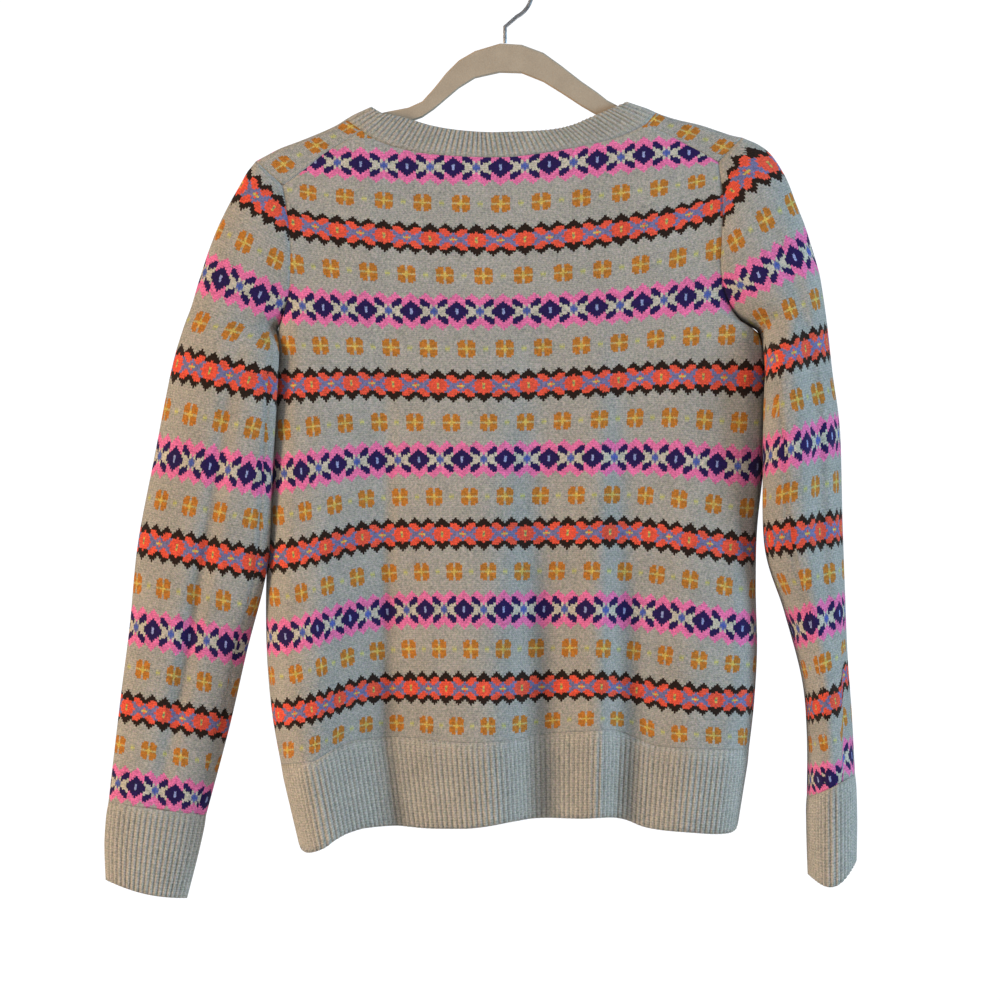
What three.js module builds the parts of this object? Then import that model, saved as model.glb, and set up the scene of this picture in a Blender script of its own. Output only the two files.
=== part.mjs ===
import * as THREE from 'three';

// Sizes of the knit, in mm
const PANEL_WALL = 2.0;
const RIB_WALL = 1.8;
const RIB_RISE = 0.8;
const RIB_PITCH = 4.4;
const SEAM_GAP = 0.3;
const SEAM_REACH = 1.2;

// Sizes of the fold over the hanger
const FOLD_RADIUS = 6.2;
const SHOULDER_DEPTH = 8.0;
const NECK_FORWARD = 6.0;

// Sizes of the hanger and its hook
const HANGER_HALF_THICKNESS = 2.9;
const HANGER_BEVEL = 1.3;
const WIRE_RADIUS = 1.6;
const HOOK_INNER_RADIUS = 20;
const HOOK_STEM_SUNK = 6;
const WIRE_SIDES = 12;
const HOOK_STEPS = 26;

// Mesh columns and rows
const SLEEVE_COLUMNS = 20;
const NECK_COLUMNS = 12;
const SHOULDER_COLUMNS = 3;
const INNER_STEP = 4;
const SIDE_TURN_STEPS = 4;

// Body sections from the shoulder corners to the rib: edge points seen from behind, half depths,
// width of the rounded side, how round it is, and share of the full folds
const BODY_COLUMNS = ['leftX', 'leftZ', 'rightX', 'rightZ', 'edge', 'back', 'front', 'round', 'full', 'fold'];
const BODY_ROWS = [
  [-178.5, -175, 171, -156.5, 8, 8, 8, 30, 0, 0],
  [-176, -190, 173.5, -174, 11, 10.5, 12, 30, 0, 0],
  [-173.5, -207.5, 174.5, -195.5, 15, 13, 15, 30, 0, 0],
  [-172, -227.5, 173.5, -219.5, 18, 15.5, 18, 30, 0, 0],
  [-172, -247.5, 173, -242, 19, 18, 20, 30, 0.1, 0],
  [-173.5, -265, 176, -261, 17, 20, 22, 28, 0.3, 0],
  [-177, -276.5, 181.5, -274, 13, 21, 23, 26, 0.5, 0],
  [-180, -286, 190.5, -285, 8, 21.5, 23.5, 24, 0.8, 0],
  [-182.5, -292.5, 204, -294, 0, 22, 24, 22, 1, 0.02],
  [-183, -323.5, 210, -319.5, 0, 23, 25, 22, 1, 0.12],
  [-185.5, -363.5, 210, -359.5, 0, 24.5, 26, 22, 1, 0.25],
  [-187.5, -403.5, 208, -399.5, 0, 26, 27, 22, 1, 0.4],
  [-190.5, -459.5, 202.5, -451.5, 0, 28, 29, 22, 1, 0.55],
  [-192, -507.5, 201.5, -499.5, 0, 30, 31, 22, 1, 0.7],
  [-191, -555.5, 202.5, -547.5, 0, 32, 32, 22, 1, 0.85],
  [-187, -599.5, 200, -591.5, 0, 33, 33, 22, 1, 0.95],
  [-180, -639, 196, -627, 0, 33, 33, 22, 1, 1],
];
const ARMPIT_ROW = 8;
const ARMPIT_TOP = -284;

// Bottom of the hem: corners and half depths
const HEM = { leftX: -160, leftZ: -709, rightX: 186.5, rightZ: -692.5, back: 28, front: 28, round: 20 };

// Seams and edges as seen from behind, columns x and z
const RIDGE_LEFT = [
  [-200, -155.5], [-189.5, -149.8], [-180, -145], [-164, -139],
  [-148, -132.5], [-136, -127], [-128, -122],
];
const RIDGE_RIGHT = [
  [190.5, -136.5], [183, -135], [175, -132.5], [157, -126.5],
  [139, -122.3], [128, -119], [121.5, -116.5],
];
const SHOULDER_SEAM_LEFT = [
  [-178.5, -175], [-169, -169], [-157.5, -160], [-146.5, -151], [-131, -141], [-115, -131],
];
const SHOULDER_SEAM_RIGHT = [
  [171, -156.5], [157, -148.5], [142.5, -141], [128, -133], [113.5, -126],
];
const NECK_SEAM_BACK = [
  [-115, -131], [-107, -137], [-93.5, -143], [-72, -148.5], [-50.5, -151], [-24, -152.5],
  [3, -152.5], [29.5, -149.5], [56, -145], [83, -139], [101, -132.5], [113.5, -126],
];
const NECK_SEAM_FRONT = [
  [-115, -131], [-111, -144.5], [-99, -164.5], [-76, -185], [-44, -199.5], [-1, -205],
  [42.5, -198], [76, -182], [98.5, -160.5], [109.5, -139.5], [113.5, -126],
];
const NECK_EDGE_BACK = [
  [-97.5, -118], [-87, -119.5], [-73.5, -123], [-60, -127], [-44, -130], [-24, -132],
  [-6.5, -132.5], [32, -131], [52, -127.5], [68, -121], [87, -113],
];
const NECK_EDGE_FRONT = [
  [-97.5, -118], [-93, -133], [-82, -151], [-62, -168], [-34, -180], [-1, -184.5],
  [32, -179], [60, -166], [79, -148], [87, -129], [87, -113],
];
const NECK_PEAK_LEFT = [-107, -112.5];
const NECK_PEAK_RIGHT = [97.5, -108.5];
const NECK_EDGE_DEPTH = 7.6;
const RIB_LINE = [
  [-180, -639], [-152, -635.5], [-139, -627.5], [-124, -620.5], [-103, -618], [-81, -617.5],
  [-57, -619.5], [-37, -621], [-10.5, -620.5], [12, -618], [30.5, -614.5], [60, -612.5],
  [87, -611.5], [105, -618], [120, -624], [153, -626], [196, -627],
];
const HEM_LINE = [
  [-160, -709], [-151, -708.5], [-143, -705.5], [-136, -699.5], [-127, -694], [-113.5, -690],
  [-88, -688.5], [-63, -690], [-43, -690], [-23, -689], [12, -683.5], [32, -682],
  [60, -682], [81.5, -681], [96, -683], [110.5, -688.5], [125, -691], [145.5, -692.5],
  [167, -694], [186.5, -692.5],
];

// Long hanging folds, columns x and rise
const FOLDS_BACK = [
  [-194.5, 0], [-154.5, 13], [-128, 3], [-93.5, -15], [-60, -2], [-20, 12], [0, 8], [25, -11],
  [52, -1], [76, 10], [93.5, -4], [112, 0], [148, 12], [180, 7], [206, 0],
];
const FOLDS_FRONT = [
  [-194.5, 0], [-160, 7], [-118, -9], [-70, 8], [-38, 11], [-6, -8], [34, 6], [66, 9],
  [98, -10], [140, 8], [178, 6], [206, 0],
];

// Sleeve sections from shoulder to cuff: outer point, inner point, half depth, crease x and its depth, and
// how far the inner edge lies behind the side of the body
const SLEEVE_COLUMNS_READ = ['outX', 'outZ', 'inX', 'inZ', 'half', 'creaseX', 'crease', 'lean'];
const SLEEVE_LEFT_ROWS = [
  [-200, -155.5, -178.5, -175, 8, -190, 0, 0],
  [-206.5, -163.5, -176, -190, 12, -192, 0, 0],
  [-213, -175, -173.5, -207.5, 16, -195, 0, 0],
  [-221.5, -190, -172, -227.5, 19, -198, 0, 0],
  [-230.5, -208.5, -172, -247.5, 20.5, -200, 0, 0],
  [-238.5, -229, -173.5, -265, 21, -203, 0, 0],
  [-243, -243, -177, -276.5, 21, -205, 0.5, 0],
  [-247, -255.5, -180, -286, 21, -207, 1, 0],
  [-252, -272.5, -182.5, -292.5, 21, -209, 1, 0],
  [-259, -291.5, -183.3, -309, 21, -212, 1.5, 12],
  [-268, -323.5, -182, -340.5, 21, -218, 2.5, 20],
  [-281.5, -392.5, -186, -411.5, 20, -228, 3.5, 20],
  [-295, -463.5, -190, -480.5, 19.5, -240, 4, 18],
  [-301.5, -529, -207, -549, 19, -252, 4, 6],
  [-309.5, -592.5, -221.5, -611, 18.5, -264, 3, 0],
  [-318.5, -670, -240, -680.5, 17.5, -280, 1, 0],
];
const SLEEVE_RIGHT_ROWS = [
  [190.5, -136.5, 171, -156.5, 8, 182, 0, 0],
  [201.5, -141, 173.5, -174, 13, 186, 0, 0],
  [213.5, -150, 174.5, -195.5, 18, 192, 0, 0],
  [225.5, -168.5, 173.5, -219.5, 22, 200, 0, 0],
  [233.5, -188.5, 173, -242, 25, 210, 1, 0],
  [241, -207.5, 176, -261, 28, 218, 2, 0],
  [245.5, -222, 181.5, -274, 30, 225, 3, 0],
  [249.5, -235, 190.5, -285, 32, 230, 4, 0],
  [253.5, -251, 204, -294, 33, 235, 4.5, 0],
  [258.5, -285, 209.5, -318, 35, 240, 5, 20],
  [263, -325, 206.5, -357, 38, 245, 5.5, 26],
  [269, -371.5, 206, -396.5, 41, 249, 5.5, 26],
  [271, -442, 208, -466, 43, 252, 5, 14],
  [273, -499.5, 224, -517, 45, 257, 4, 4],
  [275, -551.5, 238.5, -571.5, 46, 264, 3, 0],
  [278.5, -599.5, 242.5, -616.5, 45, 268, 3, 0],
  [281, -647, 242.5, -665, 43, 269, 1, 0],
];
const CREASE_WIDTH = 9;

// Cuff sections: outer point, inner point, half depth, and how far the edge dips between them
const CUFF_COLUMNS = ['outX', 'outZ', 'inX', 'inZ', 'half', 'dip'];
const CUFF_LEFT_ROWS = [
  [-318.5, -670, -240, -680.5, 17.5, 0],
  [-321, -701, -247, -712, 15, 1.5],
  [-320, -732.5, -256, -747, 15, 3.5],
];
const CUFF_RIGHT_ROWS = [
  [281, -647, 242.5, -665, 43, 0],
  [282, -683.5, 243, -698, 37, 6],
  [281.5, -716, 244, -728, 36, 14],
];

// Hanger sections from wearer's left to right: x, top edge, bottom edge
const HANGER_ROWS = [
  [-197, -157.6, -166.5], [-189.5, -153, -164], [-180, -148.4, -160], [-164, -142.4, -156],
  [-148, -136, -150], [-136, -130.5, -145], [-128, -126, -140.5], [-107, -118.5, -133],
  [-93, -115.5, -129], [-77.5, -112.5, -124.5], [-66.5, -107.5, -120.5], [-57, -97, -114],
  [-47, -84.5, -105.5], [-37, -74.5, -97], [-24, -67, -89], [-4, -61, -84.5], [13.5, -62, -85],
  [31, -68.5, -92], [45.5, -79, -101], [61.5, -91.5, -111.5], [74.5, -100.5, -119],
  [82, -106.5, -121.5], [90.5, -111, -125.5], [108, -116.5, -131], [121.5, -120.2, -135],
  [128, -122.4, -137], [139, -125.7, -140.5], [157, -129.9, -144.5], [175, -136, -150],
  [183, -138.4, -152], [188, -139.9, -153],
];
const HANGER_TOP = -61;

// Colours read by eye from the photo
const COLOURS = {
  ground: 0xaba598,
  rib: 0xada79a,
  hanger: 0xac9e8e,
  wire: 0xb9bcc0,
};

const lerp = (a, b, t) => a + (b - a) * t;
const clamp = (t) => Math.min(1, Math.max(0, t));

// Smooth value between table rows, by row number
function rowAt(rows, at) {
  const last = rows.length - 1;
  const k = Math.min(last - 1, Math.max(0, Math.floor(at)));
  const t = at - k;
  const p0 = rows[Math.max(0, k - 1)];
  const p1 = rows[k];
  const p2 = rows[k + 1];
  const p3 = rows[Math.min(last, k + 2)];
  return p1.map((value, c) => {
    const slopeA = (p2[c] - p0[c]) / 2;
    const slopeB = (p3[c] - p1[c]) / 2;
    const t2 = t * t;
    const t3 = t2 * t;
    return (2 * t3 - 3 * t2 + 1) * value + (t3 - 2 * t2 + t) * slopeA
      + (3 * t2 - 2 * t3) * p2[c] + (t3 - t2) * slopeB;
  });
}

// Point on an edge line at a share of its length
function edgeAt(line, share) {
  const lengths = [0];
  for (let k = 1; k < line.length; k += 1) {
    lengths.push(lengths[k - 1] + Math.hypot(line[k][0] - line[k - 1][0], line[k][1] - line[k - 1][1]));
  }
  const want = clamp(share) * lengths[lengths.length - 1];
  let k = 0;
  while (k < line.length - 2 && lengths[k + 1] < want) {
    k += 1;
  }
  return rowAt(line, k + (want - lengths[k]) / (lengths[k + 1] - lengths[k]));
}

function edgeLength(line) {
  let sum = 0;
  for (let k = 1; k < line.length; k += 1) {
    sum += Math.hypot(line[k][0] - line[k - 1][0], line[k][1] - line[k - 1][1]);
  }
  return sum;
}

// Height of a line at a given x
function heightAt(line, x) {
  let k = 0;
  while (k < line.length - 2 && line[k + 1][0] < x) {
    k += 1;
  }
  const t = clamp((x - line[k][0]) / (line[k + 1][0] - line[k][0]));
  return rowAt(line, k + t)[1];
}

const readRow = (columns, values) => Object.fromEntries(columns.map((name, c) => [name, values[c]]));

// Where the neck starts and ends along the top edge of a body panel
const SEAM_LENGTHS = {
  left: edgeLength(SHOULDER_SEAM_LEFT),
  neck: edgeLength(NECK_SEAM_BACK),
  right: edgeLength(SHOULDER_SEAM_RIGHT),
};
const TOP_LENGTH = SEAM_LENGTHS.left + SEAM_LENGTHS.neck + SEAM_LENGTHS.right;
const NECK_START = SEAM_LENGTHS.left / TOP_LENGTH;
const NECK_END = 1 - SEAM_LENGTHS.right / TOP_LENGTH;

function topEdge(u, neckLine) {
  if (u <= NECK_START) {
    return edgeAt(SHOULDER_SEAM_LEFT, u / NECK_START);
  }
  if (u >= NECK_END) {
    return edgeAt(SHOULDER_SEAM_RIGHT, (1 - u) / (1 - NECK_END));
  }
  return edgeAt(neckLine, (u - NECK_START) / (NECK_END - NECK_START));
}

// Share of full depth at a distance in from the side: a quarter round low down, a soft slope higher up
function sideShare(distance, round, full) {
  const t = clamp(distance / round);
  return lerp(Math.sin(t * Math.PI / 2), Math.sqrt(1 - (1 - t) * (1 - t)), full);
}

// Point of a body panel; u runs from wearer's left to right, row from shoulder to rib
function bodyPoint(u, row, face) {
  const section = readRow(BODY_COLUMNS, rowAt(BODY_ROWS, row));
  const first = readRow(BODY_COLUMNS, BODY_ROWS[0]);
  const last = readRow(BODY_COLUMNS, BODY_ROWS[BODY_ROWS.length - 1]);
  const drop = (first.leftZ + first.rightZ - section.leftZ - section.rightZ)
    / (first.leftZ + first.rightZ - last.leftZ - last.rightZ);
  const top = topEdge(u, face === 'back' ? NECK_SEAM_BACK : NECK_SEAM_FRONT);
  const bottomX = lerp(last.leftX, last.rightX, u);
  const bottomZ = heightAt(RIB_LINE, bottomX);
  const x = lerp(top[0], bottomX, drop) + lerp(section.leftX, section.rightX, u)
    - lerp(lerp(first.leftX, first.rightX, u), lerp(last.leftX, last.rightX, u), drop);
  const z = lerp(top[1], bottomZ, drop) + lerp(section.leftZ, section.rightZ, u)
    - lerp(lerp(first.leftZ, first.rightZ, u), lerp(last.leftZ, last.rightZ, u), drop);
  const width = section.rightX - section.leftX;
  const share = sideShare(Math.min(u, 1 - u) * width, section.round, section.full);
  const folds = rowAtX(face === 'back' ? FOLDS_BACK : FOLDS_FRONT, x) * section.fold;
  const neckShare = clamp((u - NECK_START) / (NECK_END - NECK_START));
  const forward = face === 'front' ? NECK_FORWARD * Math.sin(Math.PI * neckShare) * clamp(1 - 5 * drop) : 0;
  const depth = section.edge + (section[face] + folds - section.edge) * share + forward;
  return new THREE.Vector3(x, face === 'back' ? -depth : depth, z);
}

function rowAtX(line, x) {
  return heightAt(line, Math.min(line[line.length - 1][0], Math.max(line[0][0], x)));
}

// Point on the fold over the hanger, from ridge point to seam point; turn is -1 behind, 0 on top, 1 in front
function foldOver(ridge, seam, turn, depth) {
  const reach = Math.hypot(seam[0] - ridge[0], seam[1] - ridge[1]);
  const quarter = FOLD_RADIUS * Math.PI / 2;
  const straight = Math.hypot(reach - FOLD_RADIUS, depth - FOLD_RADIUS);
  const path = Math.abs(turn) * (quarter + straight);
  let drop = FOLD_RADIUS * (1 - Math.cos(path / FOLD_RADIUS));
  let out = FOLD_RADIUS * Math.sin(path / FOLD_RADIUS);
  if (path > quarter) {
    const t = (path - quarter) / straight;
    drop = lerp(FOLD_RADIUS, reach, t);
    out = lerp(FOLD_RADIUS, depth, t);
  }
  return new THREE.Vector3(
    lerp(ridge[0], seam[0], drop / reach),
    Math.sign(turn) * out,
    lerp(ridge[1], seam[1], drop / reach),
  );
}

// Turns at which the fold over the hanger has mesh rows, from behind to in front
function foldTurns(ridge, seam, depth) {
  const reach = Math.hypot(seam[0] - ridge[0], seam[1] - ridge[1]);
  const quarter = FOLD_RADIUS * Math.PI / 2;
  const whole = quarter + Math.hypot(reach - FOLD_RADIUS, depth - FOLD_RADIUS);
  const half = [0, quarter / 3, 2 * quarter / 3, quarter].map((path) => path / whole);
  return [-1, -half[3], -half[2], -half[1], 0, half[1], half[2], half[3], 1];
}

function strapPoint(side, share, turnIndex) {
  const ridge = edgeAt(side === 'left' ? RIDGE_LEFT : RIDGE_RIGHT, share);
  const seam = edgeAt(side === 'left' ? SHOULDER_SEAM_LEFT : SHOULDER_SEAM_RIGHT, share);
  const turns = foldTurns(ridge, seam, SHOULDER_DEPTH);
  return foldOver(ridge, seam, turns[turnIndex], SHOULDER_DEPTH);
}

// Sleeve section: an arc from the back seam round the outer side to the front seam
function sleevePoint(rows, row, share, seamDepth, creased) {
  const section = readRow(SLEEVE_COLUMNS_READ, rowAt(rows, row));
  const reach = Math.hypot(section.inX - section.outX, section.inZ - section.outZ);
  const bend = Math.sqrt(Math.max(0, 1 - (seamDepth / section.half) ** 2));
  const half = reach / (1 + bend);
  const end = Math.acos(-bend);
  const angle = lerp(-end, end, share);
  const along = half * (1 - Math.cos(angle));
  const x = lerp(section.outX, section.inX, along / reach);
  const z = lerp(section.outZ, section.inZ, along / reach);
  let y = section.half * Math.sin(angle);
  if (creased && y < 0) {
    const off = (x - section.creaseX) / CREASE_WIDTH;
    y += section.crease * Math.exp(-off * off) * clamp(-y / section.half * 1.5);
  }
  y -= section.lean * along / reach;
  return new THREE.Vector3(x, y, z);
}

// Column places of a body panel: close together on the rounded sides
function panelColumns() {
  const lowest = readRow(BODY_COLUMNS, BODY_ROWS[BODY_ROWS.length - 2]);
  const turn = lowest.round / (lowest.rightX - lowest.leftX);
  const places = [];
  for (let k = 0; k <= SIDE_TURN_STEPS; k += 1) {
    places.push(turn * (1 - Math.cos(k / SIDE_TURN_STEPS * Math.PI / 2)));
  }
  for (let k = 1; k <= SHOULDER_COLUMNS; k += 1) {
    places.push(lerp(turn, NECK_START, k / SHOULDER_COLUMNS));
  }
  for (let k = 1; k <= NECK_COLUMNS; k += 1) {
    places.push(lerp(NECK_START, NECK_END, k / NECK_COLUMNS));
  }
  for (let k = 1; k <= SHOULDER_COLUMNS; k += 1) {
    places.push(lerp(NECK_END, 1 - turn, k / SHOULDER_COLUMNS));
  }
  for (let k = SIDE_TURN_STEPS - 1; k >= 0; k -= 1) {
    places.push(1 - turn * (1 - Math.cos(k / SIDE_TURN_STEPS * Math.PI / 2)));
  }
  return places;
}

const PLACES = panelColumns();

function bodyGrid(face) {
  return BODY_ROWS.map((unused, row) => PLACES.map((u) => bodyPoint(u, row, face)));
}

function strapGrid(side) {
  const shares = side === 'left'
    ? PLACES.filter((u) => u <= NECK_START + 1e-9).map((u) => u / NECK_START)
    : PLACES.filter((u) => u >= NECK_END - 1e-9).map((u) => (1 - u) / (1 - NECK_END));
  const rows = [];
  for (let k = 0; k <= 8; k += 1) {
    rows.push(shares.map((share) => strapPoint(side, share, k)));
  }
  return rows;
}

// The sleeve starts on the short edge where the front panel turns over the hanger
function sleeveGrid(side) {
  const rows = side === 'left' ? SLEEVE_LEFT_ROWS : SLEEVE_RIGHT_ROWS;
  const first = [];
  for (let c = 0; c <= SLEEVE_COLUMNS; c += 1) {
    const at = c / SLEEVE_COLUMNS * 8;
    const k = Math.min(7, Math.floor(at));
    first.push(strapPoint(side, 0, k).lerp(strapPoint(side, 0, k + 1), at - k));
  }
  const grid = [first];
  for (let row = 1; row < rows.length; row += 1) {
    const seamDepth = row < ARMPIT_ROW ? BODY_ROWS[row][BODY_COLUMNS.indexOf('edge')] : 0;
    const line = [];
    for (let c = 0; c <= SLEEVE_COLUMNS; c += 1) {
      line.push(sleevePoint(rows, row, c / SLEEVE_COLUMNS, seamDepth, true));
    }
    grid.push(line);
  }
  return grid;
}

// Points evenly spaced along a line of points
function evenly(points, count, closed) {
  const line = closed ? [...points, points[0]] : points;
  const lengths = [0];
  for (let k = 1; k < line.length; k += 1) {
    lengths.push(lengths[k - 1] + line[k].distanceTo(line[k - 1]));
  }
  const result = [];
  for (let n = 0; n < count; n += 1) {
    const want = lengths[lengths.length - 1] * n / (closed ? count : count - 1);
    let k = 0;
    while (k < line.length - 2 && lengths[k + 1] < want) {
      k += 1;
    }
    const t = clamp((want - lengths[k]) / (lengths[k + 1] - lengths[k]));
    result.push({ point: line[k].clone().lerp(line[k + 1], t), at: k + t });
  }
  return result;
}

function lineLength(points, closed) {
  let sum = closed ? points[0].distanceTo(points[points.length - 1]) : 0;
  for (let k = 1; k < points.length; k += 1) {
    sum += points[k].distanceTo(points[k - 1]);
  }
  return sum;
}

// Mesh columns of a ribbed piece: two for each rib, a whole number of inner steps
function ribColumns(points, closed) {
  const ribs = lineLength(points, closed) / RIB_PITCH;
  return Math.round(ribs * 2 / INNER_STEP) * INNER_STEP + (closed ? 0 : 1);
}

function hemGrid(face, panelRow) {
  const top = evenly(panelRow, ribColumns(panelRow, false), false);
  const bottom = top.map(({ at }) => {
    const k = Math.min(PLACES.length - 2, Math.floor(at));
    const u = lerp(PLACES[k], PLACES[k + 1], at - k);
    const x = lerp(HEM.leftX, HEM.rightX, u);
    const width = HEM.rightX - HEM.leftX;
    const share = sideShare(Math.min(u, 1 - u) * width, HEM.round, 1);
    const panelX = lerp(BODY_ROWS[16][0], BODY_ROWS[16][2], u);
    const folds = rowAtX(face === 'back' ? FOLDS_BACK : FOLDS_FRONT, panelX);
    const depth = (HEM[face] + folds) * share;
    return new THREE.Vector3(x, face === 'back' ? -depth : depth, heightAt(HEM_LINE, x));
  });
  return [top.map(({ point }) => point), bottom];
}

function cuffGrid(rows, sleeveEnd) {
  const ring = sleeveEnd.slice(0, -1);
  const top = evenly(ring, ribColumns(ring, true), true);
  const lower = [1, 2].map((row) => top.map(({ at }) => {
    const section = readRow(CUFF_COLUMNS, rowAt(rows, row));
    const plain = [section.outX, section.outZ, section.inX, section.inZ, section.half, 0, 0, 0];
    const point = sleevePoint([plain, plain], 0, at / SLEEVE_COLUMNS, 0, false);
    const across = clamp((point.x - section.outX) / (section.inX - section.outX));
    point.z -= section.dip * Math.sin(Math.PI * across);
    return point;
  }));
  return [top.map(({ point }) => point), ...lower];
}

// Neckband: its seam follows the panels' edges all round, its free edge has its own lines
function neckGrid(backGrid, frontGrid) {
  const from = PLACES.findIndex((u) => Math.abs(u - NECK_START) < 1e-9);
  const to = PLACES.findIndex((u) => Math.abs(u - NECK_END) < 1e-9);
  const seam = [];
  const edge = [];
  const neckShare = (k) => (k - from) / (to - from);
  for (let k = from; k <= to; k += 1) {
    const at = edgeAt(NECK_EDGE_BACK, neckShare(k));
    seam.push(backGrid[0][k]);
    edge.push(new THREE.Vector3(at[0], -NECK_EDGE_DEPTH, at[1]));
  }
  const leftStart = NECK_EDGE_BACK[0];
  const rightStart = NECK_EDGE_BACK[NECK_EDGE_BACK.length - 1];
  const rightTurns = foldTurns(NECK_PEAK_RIGHT, rightStart, NECK_EDGE_DEPTH);
  const leftTurns = foldTurns(NECK_PEAK_LEFT, leftStart, NECK_EDGE_DEPTH);
  for (let k = 1; k < 8; k += 1) {
    seam.push(strapPoint('right', 1, k));
    edge.push(foldOver(NECK_PEAK_RIGHT, rightStart, rightTurns[k], NECK_EDGE_DEPTH));
  }
  for (let k = to; k >= from; k -= 1) {
    const share = neckShare(k);
    const at = edgeAt(NECK_EDGE_FRONT, share);
    seam.push(frontGrid[0][k]);
    edge.push(new THREE.Vector3(at[0], NECK_EDGE_DEPTH + NECK_FORWARD * Math.sin(Math.PI * share), at[1]));
  }
  for (let k = 7; k > 0; k -= 1) {
    seam.push(strapPoint('left', 1, k));
    edge.push(foldOver(NECK_PEAK_LEFT, leftStart, leftTurns[k], NECK_EDGE_DEPTH));
  }
  const even = evenly(seam, ribColumns(seam, true), true);
  const free = even.map(({ at }) => {
    const k = Math.min(edge.length - 1, Math.floor(at));
    return edge[k].clone().lerp(edge[(k + 1) % edge.length], at - k);
  });
  return [free, even.map(({ point }) => point)];
}

// A piece of cloth as grids of points; points shared by two grids are joined
function clothPiece(name, grids, options) {
  const points = [];
  const quads = [];
  const found = new Map();
  const closed = options.closed === true;
  for (const grid of grids) {
    const index = grid.rows.map((row) => row.map((point) => {
      const key = `${point.x.toFixed(3)} ${point.y.toFixed(3)} ${point.z.toFixed(3)}`;
      if (grids.length > 1 && found.has(key)) {
        return found.get(key);
      }
      points.push(point.clone());
      found.set(key, points.length - 1);
      return points.length - 1;
    }));
    for (let j = 0; j < index.length - 1; j += 1) {
      const count = closed ? index[j].length : index[j].length - 1;
      for (let i = 0; i < count; i += 1) {
        const next = (i + 1) % index[j].length;
        const quad = [index[j][i], index[j][next], index[j + 1][next], index[j + 1][i]];
        quads.push(grid.flip ? quad.reverse() : quad);
      }
    }
  }
  const normals = points.map(() => new THREE.Vector3());
  for (const [a, b, c, d] of quads) {
    const across = points[c].clone().sub(points[a]);
    const other = points[d].clone().sub(points[b]);
    const normal = across.cross(other).normalize();
    for (const k of [a, b, c, d]) {
      normals[k].add(normal);
    }
  }
  normals.forEach((normal) => normal.normalize());
  const used = new Map();
  for (const quad of quads) {
    quad.forEach((a, k) => used.set(`${a} ${quad[(k + 1) % 4]}`, quad));
  }
  const rim = [];
  for (const quad of quads) {
    quad.forEach((a, k) => {
      const b = quad[(k + 1) % 4];
      if (!used.has(`${b} ${a}`)) {
        rim.push({ a, b, quad });
      }
    });
  }
  return { name, points, quads, normals, rim, closed, grids, ...options };
}

// Direction of another piece's edge where it runs beside a point
function directionBeside(point, other, skipped) {
  let nearest = SEAM_REACH;
  let direction = null;
  for (const { a, b } of other.rim) {
    if (a === skipped || b === skipped) {
      continue;
    }
    const start = other.points[a];
    const along = other.points[b].clone().sub(start);
    const t = clamp(point.clone().sub(start).dot(along) / along.lengthSq());
    const distance = start.clone().addScaledVector(along, t).distanceTo(point);
    if (distance < nearest) {
      nearest = distance;
      direction = other.normals[a].clone().lerp(other.normals[b], t).normalize();
    }
  }
  return direction;
}

// Across every seam the walls share one direction, so that they stand side by side
function shareSeamDirections(cloths, ribbed) {
  const results = cloths.map((piece) => {
    const shared = new Map();
    for (const k of new Set(piece.rim.flatMap(({ a, b }) => [a, b]))) {
      const sum = piece.normals[k].clone();
      for (const other of cloths) {
        const direction = directionBeside(piece.points[k], other, other === piece ? k : -1);
        if (direction) {
          sum.add(direction);
        }
      }
      shared.set(k, sum.normalize());
    }
    return shared;
  });
  results.forEach((shared, n) => shared.forEach((normal, k) => cloths[n].normals[k].copy(normal)));
  for (const piece of ribbed) {
    for (const k of new Set(piece.rim.flatMap(({ a, b }) => [a, b]))) {
      for (const other of cloths) {
        const direction = directionBeside(piece.points[k], other, -1);
        if (direction) {
          piece.normals[k].copy(direction);
        }
      }
    }
  }
}

// Half the seam gap is taken from every edge, within the surface
function openSeams(piece) {
  const moves = new Map();
  for (const { a, b, quad } of piece.rim) {
    const middle = piece.points[a].clone().add(piece.points[b]).multiplyScalar(0.5);
    const along = piece.points[b].clone().sub(piece.points[a]).normalize();
    const inward = quad.reduce((sum, k) => sum.add(piece.points[k]), new THREE.Vector3())
      .multiplyScalar(0.25).sub(middle);
    inward.addScaledVector(along, -inward.dot(along)).normalize();
    for (const k of [a, b]) {
      moves.set(k, (moves.get(k) || []).concat([inward]));
    }
  }
  moves.forEach((list, k) => {
    const sum = list.reduce((total, one) => total.add(one), new THREE.Vector3()).normalize();
    const share = Math.max(0.5, sum.dot(list[0]));
    piece.points[k].addScaledVector(sum, SEAM_GAP / 2 / share);
  });
}

function triangle(list, a, b, c) {
  list.push(a.x, a.y, a.z, b.x, b.y, b.z, c.x, c.y, c.z);
}

function meshFrom(name, list, colour, roughness, metalness) {
  const geometry = new THREE.BufferGeometry();
  geometry.setAttribute('position', new THREE.Float32BufferAttribute(list, 3));
  geometry.computeVertexNormals();
  const material = new THREE.MeshStandardMaterial({ color: colour, roughness, metalness });
  material.name = `${name}_colour`;
  const mesh = new THREE.Mesh(geometry, material);
  mesh.name = name;
  return mesh;
}

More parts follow.
